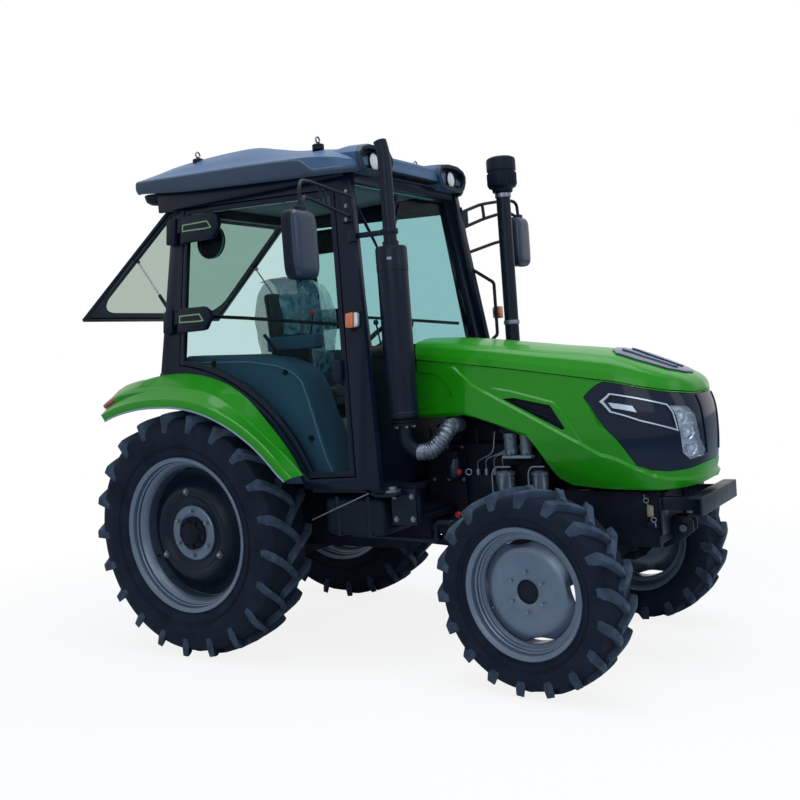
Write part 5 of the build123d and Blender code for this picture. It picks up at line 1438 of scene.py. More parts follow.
def makeExhaust():
    x, y = 1.405, -0.600
    body = [(0.0003, 1.358), (0.050, 1.358), (0.078, 1.362), (0.086, 1.372), (0.086, 1.395), (0.0835, 1.398),
            (0.0835, 2.150), (0.0855, 2.153), (0.0855, 2.272), (0.080, 2.284), (0.044, 2.288), (0.044, 2.312),
            (0.0385, 2.314), (0.0385, 2.290), (0.0003, 2.290)]
    parts = [turned("muffler", [(r, z - 1.358) for r, z in body], (x, y, 1.358), (0, 0, 1), blackPaint, 72,
                    30)]
    parts.append(tubeMesh("exhaustPipe", [(x, y, 2.285), (x, y, 2.700), (x - 0.003, y, 2.780),
                                          (x - 0.020, y, 2.848)],
                          0.036, blackPaint, 0.06, 32))
    parts.append(turned("pipeMouth", [(0.0355, 0.0), (0.036, 0.003), (0.034, 0.004), (0.0325, 0.001),
                                      (0.0325, -0.02),
                                      (0.0003, -0.02), (0.0003, -0.022), (0.0355, -0.022)],
                        (x - 0.0195, y, 2.8465), (-0.24, 0, 1), castBlack, 32))
    collar = [(0.037, -0.014), (0.044, -0.014), (0.046, -0.010), (0.046, 0.010), (0.044, 0.014),
              (0.037, 0.014)]
    parts.append(turned("pipeClamp", collar, (x, y, 2.366), (0, 0, 1), blackPaint, 40))
    brace = [(1.214, -0.640), (1.206, -0.618), (1.365, -0.588), (1.365, -0.612)]
    parts.append(plateMesh("pipeBrace", brace, "z", 2.352, 2.380, blackPaint, 0.003))
    parts.append(wallPlate("braceFoot", [(1.175, 2.335), (1.175, 2.397), (1.222, 2.397), (1.222, 2.335)],
                           -0.004, 0.010,
                           blackPaint, 0.003))
    flange = [(0.0003, -0.010), (0.064, -0.010), (0.066, -0.008), (0.066, 0.004), (0.064, 0.006),
              (0.0003, 0.006)]
    parts.append(turned("muffFlange", flange, (x, y, 1.350), (0, 0, 1), castBlack, 48))
    parts.append(turned("muffFlangeLow", flange, (x, y, 1.332), (0, 0, 1), castBlack, 48))
    spots = [(math.cos(a * math.pi / 3 + 0.3), math.sin(a * math.pi / 3 + 0.3)) for a in range(6)]
    parts.append(boltRow("muffBolts", [((x + 0.054 * c, y + 0.054 * s, 1.322), (0, 0, -1)) for c, s in spots],
                         0.0075, 0.012, zinc))
    parts.append(boltRow("muffTopBolts", [((x + 0.0857 * c, y + 0.0857 * s, 2.215), (c, s, 0)) for c, s in
                                          ((0.34, -0.94), (0.45, -0.89))], 0.006, 0.006, zinc))
    parts.append(tubeMesh("muffInlet", [(x, y, 1.345), (x, y, 1.225), (x + 0.050, y + 0.045, 1.170)], 0.040,
                          blackPaint,
                          0.06, 24))

    def ribbed(t):
        return 0.044 + 0.0045 * math.sin(t * 2 * math.pi * 13)
    route = [Vector((x + 0.045, y + 0.040, 1.172)), Vector((1.515, -0.530, 1.170)),
             Vector((1.560, -0.490, 1.215)),
             Vector((1.585, -0.440, 1.290)), Vector((1.575, -0.300, 1.300))]
    fine = roundedPath(route, 0.06, 22)
    parts.append(tubeMesh("flexElbow", fine, ribbed, flexSilver, 0.0, 28, 60))
    parts.append(tubeMesh("headPipe", [(1.575, -0.310, 1.300), (1.560, -0.250, 1.290), (1.50, -0.218, 1.210)],
                          0.038,
                          castBlack, 0.05, 24))
    settle(joined("exhaustMade", parts), "chassis", "black_paint", "exhaust_stack")


def makeIntake():
    x, y = 1.580, 0.440
    bowl = [(0.0003, 0.0), (0.058, 0.0), (0.062, 0.006), (0.063, 0.020), (0.082, 0.030), (0.088, 0.040),
            (0.088, 0.115), (0.084, 0.118), (0.084, 0.128), (0.0895, 0.131), (0.0895, 0.190), (0.086, 0.204),
            (0.066, 0.214), (0.0003, 0.217)]
    parts = [turned("intakeBowl", bowl, (x, y, 2.655), (0, 0, 1), blackPlastic, 60)]
    for k in range(24):
        turn = 2 * math.pi * k / 24
        c, s = math.cos(turn), math.sin(turn)
        base = Vector((x + 0.0855 * c, y + 0.0855 * s, 2.700))
        side = Vector((-s, c, 0)) * 0.003
        out = Vector((c, s, 0)) * 0.0055
        corners = [base - side, base + side, base + side + out, base - side + out]
        parts.append(thickQuad("bowlFin", corners, Vector((0, 0, 0.068)), blackPlastic))
    parts.append(tubeMesh("intakePipe", [(x, y, 1.20), (x, y, 2.660)], 0.043, blackPaint, 0.0, 36))
    clamp = [(0.043, -0.012), (0.048, -0.012), (0.049, 0.0), (0.048, 0.012), (0.043, 0.012)]
    for z in (1.86, 2.635):
        parts.append(turned("intakeClamp", clamp, (x, y, z), (0, 0, 1), zinc, 40))
    filterCan = [(0.0003, 0.0), (0.080, 0.0), (0.090, 0.008), (0.095, 0.020), (0.095, 0.250), (0.090, 0.262),
                 (0.098, 0.266), (0.098, 0.282), (0.088, 0.300), (0.050, 0.335), (0.0003, 0.340)]
    parts.append(turned("cleanerCan", filterCan, (x, y, 0.962), (0, 0, 1), blackPlastic, 60))
    parts.append(roundedBlock("cleanerFoot", (x - 0.040, 0.217, 1.040), (x + 0.040, y - 0.06, 1.110),
                              castBlack, 0.006))
    settle(joined("intakeMade", parts), "chassis", "black_paint", "air_intake_stack")


def makeLamps():
    parts = []
    for side in (-1, 1):
        parts += roundLamp("roofLamp", (1.206, side * 0.432, 2.788), (1, 0, 0), 0.055, 0.028)
    turn = [(1.172, 1.868), (1.172, 1.948), (1.222, 1.952), (1.222, 1.866)]
    clear = [(1.223, 1.866), (1.223, 1.952), (1.250, 1.946), (1.250, 1.874)]
    parts.append(wallPlate("turnRight", turn, 0.012, 0.044, lampAmber, 0.009))
    parts.append(wallPlate("turnRightClear", clear, 0.012, 0.038, lampClear, 0.009))
    parts.append(wallPlate("turnBase", [(1.168, 1.864), (1.168, 1.954), (1.252, 1.954), (1.252, 1.864)], 0.0,
                           0.014,
                           blackPlastic, 0.004))
    parts.append(roundedBlock("turnLeft", (1.322, 0.752, 1.905), (1.350, 0.800, 1.985), lampAmber, 0.008))
    parts.append(roundedBlock("turnLeftClear", (1.290, 0.754, 1.908), (1.321, 0.798, 1.982), lampClear,
                              0.008))
    settle(joined("lampsMade", parts), "chassis", "lamp_clear", "lamps")


def makeWipers():
    def screenX(z):
        return 1.230 - 0.125 * (z - 1.763) / 0.912
    parts = []
    for (y0, z0), (y1, z1) in (((-0.395, 2.350), (-0.545, 2.600)), ((-0.235, 2.400), (-0.075, 2.640))):
        dx = 0.022
        arm = [(screenX(z0) + dx, y0, z0), (screenX(z1) + dx + 0.004, y1, z1)]
        parts.append(tubeMesh("wiperArm", arm, 0.0065, blackPaint, 0.0, 8))
        blade = [(screenX(z0 - 0.03) + 0.012, y0 + 0.030, z0 - 0.03),
                 (screenX(z1 - 0.04) + 0.012, y1 + 0.034, z1 - 0.04)]
        parts.append(tubeMesh("wiperBlade", blade, 0.0075, blackPlastic, 0.0, 8))
        hub = [(0.0003, -0.014), (0.017, -0.014), (0.018, 0.0), (0.017, 0.014), (0.0003, 0.017)]
        parts.append(turned("wiperHub", hub, (screenX(z1) + 0.016, y1, z1), (1, 0, 0.14), blackPlastic, 24))
    settle(joined("wipersMade", parts), "chassis", "black_plastic")


def makeWindowBand():
    # the dark printed border inside the raised pane's frame, round at the lower corners
    turn, hinge = math.radians(52), (-0.214, 2.736)
    frameEdge = shrunkOutline([(-0.575, -0.030), (-0.652, -1.040), (0.652, -1.040), (0.575, -0.030)], 0.0285)
    corners = ((-0.512, -0.080, 0.04), (-0.575, -0.965, 0.15), (0.575, -0.965, 0.15), (0.512, -0.080, 0.04))
    inner, outer, steps = [], [], 10
    for i, (y, v, radius) in enumerate(corners):
        here = Vector((y, v))
        before, after = (Vector(corners[(i + k) % 4][:2]) - here for k in (-1, 1))
        before, after = before.normalized(), after.normalized()
        centre = here + (before + after) * radius
        for k in range(steps + 1):
            swing = math.pi / 2 * k / steps
            way = (-after * math.cos(swing) - before * math.sin(swing)).normalized()
            inner.append(centre + way * radius)
            reach = []
            for a, b in zip(frameEdge, frameEdge[1:] + frameEdge[:1]):
                along = Vector(b) - Vector(a)
                facing = way.x * along.y - way.y * along.x
                if abs(facing) > 1e-6:
                    away = Vector(a) - centre
                    far = (away.x * along.y - away.y * along.x) / facing
                    if far > 0:
                        reach.append(far)
            outer.append(centre + way * min(reach))
    verts = []
    for off in (-0.0042, 0.0042):
        for shape in (outer, inner):
            for y, v in shape:
                verts.append((hinge[0] + v * math.sin(turn) + off * math.cos(turn), y,
                              hinge[1] + v * math.cos(turn) - off * math.sin(turn)))
    band = newPiece("windowBand", verts, frameFaces(len(inner)), cabBlack, 30)
    settle(band, "rear_window", "frame_black")


def makeHeader():
    # the dark gutter that closes the space between the cab's top rail and the roof
    band = [(-0.262, 2.700), (-0.262, 2.862), (-0.10, 2.838), (0.20, 2.812), (0.48, 2.786), (0.90, 2.756),
            (1.15, 2.742),
            (1.15, 2.700)]
    side = plateMesh("headerSide", band, "y", -0.640, -0.612, cabBlack, 0.003)
    rear = plateMesh("headerRear", [(-0.636, 2.742), (-0.636, 2.862), (0.636, 2.862), (0.636, 2.742)], "x",
                     -0.262, -0.240,
                     cabBlack, 0.003)
    lid = plateMesh("headerLid", [(-0.262, -0.636), (-0.262, 0.636), (0.20, 0.636), (0.20, -0.636)], "z",
                    2.800, 2.806,
                    cabBlack, 0)
    settle(joined("cabHeader", [side, mirroredCopy(side, "headerLeft"), rear, lid]), "chassis", "frame_black")


makeHeader()
makeWindowBand()
makeDoors()
makeMirrors()
makeExhaust()
makeIntake()
makeLamps()
makeWipers()
print("cab outside made")


wrapFilm = finishMaterial("wrapFilm", (0.19, 0.39, 0.54), (0.03, 0.11, 0.19), 0.18, scale=20.0, contrast=1.0,
                          bump=0.9, grain=38, dusty=0.0, alpha=0.66, coat=0.8, coatRough=0.05)
redCap = finishMaterial("redCap", (0.42, 0.012, 0.020), (0.30, 0.010, 0.015), 0.35, scale=9.0, bump=0.05,
                        dusty=0.05)
seatShape = dict(cushionLow=(0.195, -0.228, 1.440), cushionHigh=(0.688, 0.228, 1.528), backHalf=0.216,
                 back=((0.196, 1.552), (0.276, 1.552), (0.216, 2.168), (0.156, 2.168)))


def inflated(piece, voxel, pressure, cap):
    # padding blown up by cloth pressure, each point held within cap of where it began
    remesh = piece.modifiers.new("even", "REMESH")
    remesh.mode = "VOXEL"
    remesh.voxel_size = voxel
    applyModifiers(piece)
    start = [v.co.copy() for v in piece.data.vertices]
    cloth = piece.modifiers.new("padding", "CLOTH")
    cloth.settings.use_pressure = True
    cloth.settings.uniform_pressure_force = pressure
    cloth.settings.effector_weights.gravity = 0
    cloth.settings.mass = 0.25
    scene = bpy.context.scene
    cloth.point_cache.frame_start = 1
    cloth.point_cache.frame_end = 20
    for number in range(1, 21):
        scene.frame_set(number)
    applyModifiers(piece)
    for vert, first in zip(piece.data.vertices, start):
        move = vert.co - first
        if move.length > cap:
            vert.co = first + move * (cap / move.length)
    scene.frame_set(1)
    finer = piece.modifiers.new("finer", "SUBSURF")
    finer.levels = 1
    applyModifiers(piece)
    cleanUp(piece, 70)
    return piece


def piping(name, piece, centre, plane, material):
    # a sewn edge that follows the padding's widest line
    tree = BVHTree.FromPolygons([v.co for v in piece.data.vertices],
                                [p.vertices for p in piece.data.polygons])
    points, count = [], 72
    for k in range(count + 1):
        turn = 2 * math.pi * k / count
        aim = plane[0] * math.cos(turn) + plane[1] * math.sin(turn)
        hit = tree.ray_cast(Vector(centre), aim)[0]
        if hit:
            points.append(hit)
    return tubeMesh(name, points, 0.0045, material, 0.002, 8)


def makeSeat():
    shape = seatShape
    cushion = roundedBlock("cushionPad", shape["cushionLow"], shape["cushionHigh"], seatCloth, 0.022, 3)
    inflated(cushion, 0.008, 4.0, 0.010)
    seam = piping("cushionPiping", cushion, (0.44, 0, 1.486), (Vector((1, 0, 0)), Vector((0, 1, 0))),
                  blackPlastic)
    back = plateMesh("backPad", shape["back"], "y", -shape["backHalf"], shape["backHalf"], seatCloth, 0)
    bevelled(back, 0.020, 3, 25)
    inflated(back, 0.008, 4.0, 0.010)
    lean = Vector((-0.065, 0, 1)).normalized()
    backSeam = piping("backPiping", back, (0.212, 0, 1.86), (Vector((0, 1, 0)), lean), blackPlastic)
    for pad, trim in ((cushion, seam), (back, backSeam)):
        whole = joined(pad.name + "Made", [pad, trim])
        settle(whole, "chassis", "seat_fabric", "seat_cushions")
    base = [roundedBlock("seatPan", (0.210, -0.215, 1.395), (0.640, 0.215, 1.428), blackPlastic, 0.008),
            roundedBlock("seatRiser", (0.215, -0.165, 1.250), (0.615, 0.165, 1.392), blackPlastic, 0.012)]
    for k in range(7):
        z = 1.06 + 0.026 * k
        wide = 0.150 if k % 2 else 0.162
        base.append(roundedBlock("bellow", (0.24, -wide, z), (0.59, wide, z + 0.026), blackPlastic, 0.006, 2))
    base.append(roundedBlock("seatFoot", (0.205, -0.168, 1.012), (0.615, 0.168, 1.060), blackPaint, 0.006))
    settle(joined("seatBaseMade", base), "chassis", "black_paint", "seat_base")
    makeWrap()


def makeWrap():
    # thin clear film left over the seat back, open below and loosely wrinkled
    route = [(0.352, 1.640), (0.372, 1.780), (0.398, 1.930), (0.402, 2.080), (0.372, 2.200), (0.292, 2.268),
             (0.200, 2.262), (0.130, 2.200), (0.108, 2.060), (0.116, 1.900), (0.128, 1.760)]
    fine = roundedPath([(x, 0, z) for x, z in route], 0.05, 5)
    across, verts, faces, half = 34, [], [], 0.262
    for i, point in enumerate(fine):
        for j in range(across + 1):
            v = j / across * 2 - 1
            edge = abs(v) ** 3
            bump = noise.noise(Vector((point.x * 6, v * 2.2, point.z * 5))) * 0.020
            bump += noise.noise(Vector((point.x * 18 + 4, v * 7, point.z * 13))) * 0.007
            pull = 0.5 + 0.5 * (1 if point.x > 0.21 else -1)
            x = point.x + bump + (0.03 * edge * (-1 if pull else 1))
            verts.append((x, v * half + bump * 0.4, point.z - 0.03 * edge + bump * 0.5))
    for i in range(len(fine) - 1):
        for j in range(across):
            a = i * (across + 1) + j
            faces.append((a, a + 1, a + across + 2, a + across + 1))
    wrap = newPiece("seatWrap", verts, faces, wrapFilm, 80)
    settle(wrap, "chassis", "seat_fabric")


def makeArchCovers():
    marks = ((-0.140, 1.800), (0.385, 1.775), (0.60, 1.738), (0.71, 1.695), (0.775, 1.640), (0.815, 1.560),
             (0.850, 1.450), (0.900, 1.320), (0.950, 1.200), (1.000, 1.110), (1.030, 1.060))
    rings = []
    for x in stations(marks[0][0], marks[-1][0], 0.05, [m[0] for m in marks[1:-1]]):
        top = along(marks, x)
        low, inner = 1.022, -0.440
        outTop, outLow = -(wallY(top) - 0.088), -(wallY(low) - 0.088)
        rings.append([(x, inner, low), (x, inner, top - 0.030), (x, inner - 0.006, top - 0.012),
                      (x, inner - 0.020, top - 0.003), (x, inner - 0.036, top), (x, outTop + 0.036, top),
                      (x, outTop + 0.018, top - 0.004), (x, outTop + 0.005, top - 0.014),
                      (x, outTop, top - 0.032),
                      (x, outLow, low)])
    cover = loftMesh("archCover", rings, [cabGrey] * (len(rings) - 1), 32)
    parts = [cover]
    trim = []
    for x in stations(0.0, 1.015, 0.06):
        top = along(marks, x)
        trim.append((x, -(wallY(top - 0.04) - 0.085), top - 0.042))
    parts.append(tubeMesh("coverTrim", trim, 0.0035, trimGrey, 0.02, 8))
    for x, z in ((0.655, 1.655), (0.842, 1.275), (0.10, 1.74)):
        plug = [(0.019, 0.0), (0.019, 0.006), (0.015, 0.010), (0.0003, 0.011), (0.0003, 0.0)]
        parts.append(turned("coverPlug", plug, (x, -(wallY(z) - 0.0885), z), (0, -1, 0), blackPlastic, 28))
    sill = [(0.83, 1.060), (0.83, 1.084), (1.135, 1.088), (1.135, 1.062)]
    strip = plateMesh("sillStrip", sill, "y", -0.705, -0.690, trimGrey, 0.003)
    parts.append(strip)
    right = joined("archCoverRight", parts)
    left = mirroredCopy(right, "archCoverLeft")
    both = joined("archCovers", [right, left])
    control = [roundedBlock("controlBox", (0.34, -0.425, 1.785), (0.70, -0.315, 1.872), cabGrey, 0.016, 3),
               roundedBlock("controlPad", (0.42, -0.412, 1.868), (0.60, -0.330, 1.880), blackPlastic, 0.004),
               roundedBlock("controlPost", (0.40, -0.405, 1.48), (0.62, -0.335, 1.79), blackPlastic, 0.010),
               tubeMesh("throttle", [(0.64, -0.37, 1.86), (0.665, -0.37, 1.95), (0.668, -0.37, 1.985)], 0.006,
                        blackPaint, 0.03, 10)]
    knob = [(0.0003, 0.0), (0.010, 0.002), (0.017, 0.012), (0.018, 0.022), (0.013, 0.034), (0.0003, 0.038)]
    control.append(turned("throttleKnob", knob, (0.668, -0.37, 1.975), (0.03, 0, 1), redCap, 24))
    for x, y, tip in ((0.52, 0.36, 1.96), (0.60, 0.36, 1.93), (0.44, 0.36, 1.90)):
        control.append(tubeMesh("gearLever", [(x, y + 0.09, 1.76), (x + 0.01, y + 0.03, tip)], 0.006,
                                blackPaint, 0.0, 10))
        control.append(turned("gearKnob", knob, (x + 0.01, y + 0.03, tip - 0.008), (0, -0.15, 1),
                              blackPlastic, 24))
    control.append(tubeMesh("longLever", [(0.395, -0.500, 1.888), (0.523, -0.500, 1.729),
                                          (0.640, -0.500, 1.570),
                                          (0.700, -0.488, 1.440)], 0.011, blackPaint, 0.06, 14))
    control.append(roundedBlock("beigeBox", (0.80, -0.425, 1.270), (0.90, -0.24, 1.360), beige, 0.008))
    fan = [(0.0003, 0.0), (0.098, 0.0), (0.104, 0.006), (0.106, 0.026), (0.101, 0.032), (0.094, 0.028),
           (0.090, 0.014), (0.030, 0.012), (0.026, 0.020), (0.0003, 0.022)]
    control.append(turned("cabFan", fan, (0.065, -0.520, 2.487), (0, -1, 0.05), blackPlastic, 56))
    rim = [(0.1045, 0.026), (0.108, 0.026), (0.108, 0.031), (0.1045, 0.031)]
    control.append(turned("cabFanRim", rim, (0.065, -0.520, 2.487), (0, -1, 0.05), trimGrey, 56))
    control.append(tubeMesh("cabFanArm", [(0.065, -0.515, 2.487), (0.020, -0.50, 2.62),
                                          (0.010, -0.50, 2.735)], 0.009,
                            blackPlastic, 0.03, 10))
    controls = joined("cabControls", control)
    settle(both, "chassis", "cab_grey", "side_consoles")
    settle(controls, "chassis", "black_plastic")


def makeDash():
    parts = [roundedBlock("binnacle", (1.098, -0.165, 1.690), (1.196, 0.165, 1.765), blackPlastic, 0.018, 4)]
    for y, r in ((-0.085, 0.036), (0.0, 0.044), (0.085, 0.036)):
        dial = [(0.0003, 0.0), (r, 0.0), (r * 1.08, 0.002), (r * 1.08, 0.008), (r, 0.010), (r * 0.96, 0.004),
                (0.0003, 0.003)]
        parts.append(turned("dial", dial, (1.097, y, 1.728), (-1, 0, 0.0), glossBlack, 36))
    for y in (-0.14, 0.14):
        parts.append(tubeMesh("stalk", [(1.060, y * 0.6, 1.722), (1.010, y, 1.775), (1.000, y * 1.2, 1.785)],
                              0.006,
                              blackPlastic, 0.03, 10))
    for y0, y1 in ((-0.36, -0.27), (-0.25, -0.20), (0.22, 0.31)):
        parts.append(tubeMesh("pedalArm", [(1.10, (y0 + y1) / 2, 1.38), (1.04, (y0 + y1) / 2, 1.22),
                                           (0.99, (y0 + y1) / 2, 1.12)], 0.009, blackPaint, 0.04, 10))
        parts.append(roundedBlock("pedalPad", (0.965, y0, 1.085), (0.985, y1, 1.145), blackPlastic, 0.005))
    parts.append(roundedBlock("pedalRail", (1.085, -0.37, 1.365), (1.115, 0.32, 1.395), blackPaint, 0.004))
    settle(joined("dashDetails", parts), "chassis", "black_plastic")
    softened("dashboard", cabGrey, "chassis", 0.014, 3)
    softened("steering_wheel", blackPlastic, "steering_wheel", 0.003)


beige = finishMaterial("beige", (0.30, 0.27, 0.19), (0.24, 0.21, 0.15), 0.6, scale=9.0, bump=0.05, dusty=0.1)
makeSeat()
makeArchCovers()
makeDash()
print("cab inside made")


bowlGlass = finishMaterial("bowlGlass", (0.13, 0.17, 0.21), (0.08, 0.11, 0.14), 0.15, scale=14.0,
                           contrast=0.6,
                           bump=0.10, grain=120, dusty=0.10, coat=0.8, metal=0.2)


def filterCan(name, x, y, low, high, radius, material):
    body = [(0.0003, 0.0), (radius * 0.55, 0.0), (radius * 0.9, 0.008), (radius, 0.020)]
    tall = high - low
    count = 5
    for k in range(count):
        a = 0.024 + (tall - 0.060) * k / count
        b = 0.024 + (tall - 0.060) * (k + 0.5) / count
        body += [(radius, a), (radius * 0.965, b)]
    body += [(radius, tall - 0.034), (radius * 1.06, tall - 0.030), (radius * 1.06, tall - 0.006),
             (radius * 0.8, tall),
             (0.0003, tall)]
    return turned(name, body, (x, y, low), (0, 0, 1), material, 44, 25)


def makeFilters():
    parts = [filterCan("filterA", 1.885, -0.300, 1.118, 1.246, 0.036, bowlGlass),
             filterCan("filterB", 1.975, -0.300, 1.118, 1.246, 0.032, bowlGlass),
             roundedBlock("filterHead", (1.835, -0.335, 1.240), (2.020, -0.222, 1.275), castBlack, 0.008),
             roundedBlock("filterFoot", (1.840, -0.325, 1.104), (2.012, -0.275, 1.120), trimGrey, 0.004)]
    for x, radius in ((1.850, 0.052), (2.055, 0.044)):
        bowl = [(0.0003, -0.070), (radius * 0.5, -0.068), (radius * 0.86, -0.054), (radius * 0.97, -0.03),
                (radius * 0.98, 0.018), (radius * 1.06, 0.022), (radius * 1.06, 0.036), (radius * 0.6, 0.046),
                (0.0003, 0.048)]
        parts.append(turned("glassBowl", bowl, (x, -0.320, 0.995), (0, 0, 1), bowlGlass, 44))
        parts.append(roundedBlock("bowlArm", (x - 0.020, -0.320, 1.030), (x + 0.020, -0.212, 1.060),
                                  castBlack, 0.005))
        bail = [(x - radius * 1.25, -0.350, 0.905), (x - radius * 1.25, -0.350, 1.030),
                (x - radius * 0.9, -0.345, 1.062),
                (x + radius * 0.9, -0.345, 1.062)]
        parts.append(tubeMesh("bowlBail", bail, 0.0055, zinc, 0.02, 10))
    settle(joined("filtersMade", parts), "chassis", "steel", "fuel_filters")


def makeEngine():
    softened("engine_block", castBlack, "chassis", 0.010)
    parts = [roundedBlock("pumpBody", (1.620, -0.300, 0.860), (1.860, -0.216, 1.010), castBlack, 0.014),
             roundedBlock("sidePlate", (1.340, -0.236, 0.780), (1.560, -0.216, 1.180), castBlack, 0.008),
             roundedBlock("sump", (1.420, -0.190, 0.585), (2.020, 0.190, 0.640), castBlack, 0.016),
             roundedBlock("headCover", (1.400, -0.150, 1.290), (2.020, 0.150, 1.372), castBlack, 0.020)]
    for k in range(4):
        x = 1.655 + 0.052 * k
        parts.append(turned("pumpTop", [(0.0003, 0.0), (0.015, 0.0), (0.015, 0.030), (0.010, 0.036),
                                        (0.0003, 0.038)],
                            (x, -0.262, 1.008), (0, 0, 1), zinc, 20))
        line = [(x, -0.262, 1.040), (x, -0.268, 1.085 + 0.012 * k),
                (x + 0.10 + 0.03 * k, -0.262, 1.130 + 0.012 * k),
                (x + 0.10 + 0.04 * k, -0.225, 1.245)]
        parts.append(tubeMesh("fuelLine", line, 0.0038, zinc, 0.03, 8))
    starter = [(0.0003, 0.0), (0.046, 0.0), (0.050, 0.008), (0.050, 0.150), (0.044, 0.156), (0.044, 0.205),
               (0.030, 0.215), (0.0003, 0.216)]
    parts.append(turned("starter", starter, (1.345, -0.262, 0.735), (1, 0, 0), castBlack, 44))
    spin = [(0.0003, 0.0), (0.042, 0.002), (0.048, 0.012), (0.048, 0.110), (0.040, 0.118), (0.0003, 0.120)]
    parts.append(turned("spinOnFilter", spin, (1.520, -0.292, 1.115), (0, 0, -1), glossBlack, 44))
    parts.append(roundedBlock("spinOnHead", (1.475, -0.335, 1.112), (1.565, -0.216, 1.150), castBlack, 0.008))
    for x, z in ((1.559, 1.030), (1.535, 0.790)):
        cap = [(0.0003, 0.0), (0.016, 0.0), (0.018, 0.004), (0.018, 0.018), (0.012, 0.024), (0.0003, 0.025)]
        parts.append(turned("redCap", cap, (x, -0.300, z), (0, -1, 0.2), redCap, 24))
        parts.append(tubeMesh("capStub", [(x, -0.216, z), (x, -0.302, z)], 0.010, castBlack, 0.0, 14))
    loop = ringProfile(0.016, 0.004)
    parts.append(turned("liftRing", loop, (1.615, -0.300, 1.030), (0.4, -1, 0), zinc, 28))
    for k in range(7):
        x = 1.30 + 0.10 * k
        parts.append(roundedBlock("blockRib", (x + 0.03, -0.222, 1.16), (x + 0.044, -0.214, 1.27), castBlack,
                                  0.003, 2))
    spots = [((x, -0.237, z), (0, -1, 0)) for x in (1.355, 1.45, 1.545) for z in (0.80, 0.98, 1.16)]
    parts.append(boltRow("plateBolts", spots, 0.0085, 0.010, zinc))
    belt = [(0.070, 0.0), (0.078, 0.003), (0.070, 0.010), (0.078, 0.018), (0.078, 0.024), (0.030, 0.026),
            (0.0003, 0.026),
            (0.0003, 0.0)]
    parts.append(turned("crankPulley", belt, (2.068, 0, 0.900), (1, 0, 0), castBlack, 48))
    parts.append(turned("fanHub", belt, (2.068, 0, 1.180), (1, 0, 0), castBlack, 48))
    for k in range(7):
        turn = 2 * math.pi * k / 7
        c, s = math.cos(turn), math.sin(turn)
        across = Vector((0.35, -s, c)).normalized() * 0.045
        base, tip = Vector((2.120, 0.055 * c, 1.180 + 0.055 * s)), Vector((2.120, 0.200 * c,
                                                                           1.180 + 0.200 * s))
        corners = [base - across * 0.6, base + across * 0.6, tip + across, tip - across]
        parts.append(thickQuad("fanBlade", corners, Vector((0.004, 0, 0)), blackPlastic))
    settle(joined("engineDetails", parts), "chassis", "cast")


def makeTank():
    parts = [roundedBlock("tankShell", (0.884, -0.688, 0.726), (1.286, -0.334, 0.948), blackPlastic, 0.042,
                          5),
             roundedBlock("tankArm", (0.90, -0.34, 0.80), (1.30, -0.195, 0.960), blackPaint, 0.008),
             roundedBlock("tankStrapA", (0.965, -0.6925, 0.722), (0.995, -0.340, 0.953), blackPaint, 0.010),
             roundedBlock("tankStrapB", (1.175, -0.6925, 0.722), (1.205, -0.340, 0.953), blackPaint, 0.010)]
    cap = [(0.0003, 0.0), (0.034, 0.0), (0.036, 0.004), (0.036, 0.022), (0.030, 0.028), (0.0003, 0.029)]
    parts.append(turned("tankCap", cap, (1.255, -0.560, 0.944), (0, 0, 1), blackPlastic, 36))
    settle(joined("tankMade", parts), "chassis", "black_plastic", "fuel_tank")
    extras = [roundedBlock("mountPlate", (1.320, -0.655, 0.790), (1.478, -0.641, 0.985), blackPaint, 0.004),
              roundedBlock("mountGusset", (1.340, -0.642, 0.815), (1.460, -0.30, 0.860), blackPaint, 0.006)]
    spots = [((x, -0.655, z), (0, -1, 0)) for x,
             z in ((1.345, 0.945), (1.454, 0.946), (1.349, 0.822), (1.455, 0.824))]
    extras.append(boltRow("mountBolts", spots, 0.011, 0.012, zinc))
    foot = [(1.190, 1.120), (1.198, 1.060), (1.228, 0.990), (1.290, 0.956), (1.425, 0.956), (1.425, 0.972),
            (1.300, 0.976), (1.262, 1.000), (1.300, 1.120)]
    extras.append(plateMesh("pillarFoot", foot, "y", -0.765, -0.640, cabBlack, 0.005))
    washer = [(0.0003, 0.0), (0.050, 0.0), (0.052, 0.003), (0.052, 0.016), (0.030, 0.020), (0.030, 0.034),
              (0.014, 0.036), (0.0003, 0.036)]
    extras.append(turned("mountWasher", washer, (1.362, -0.700, 0.972), (0, 0, 1), zinc, 40))
    extras.append(tubeMesh("thinRod", [(0.800, -0.690, 0.812), (1.246, -0.690, 0.983)], 0.005, zinc, 0.0, 10))
    shelf = joined("mountDetails", extras)
    other = mirroredCopy(shelf, "mountDetailsLeft")
    settle(shelf, "chassis", "black_paint")
    settle(other, "chassis", "black_paint")


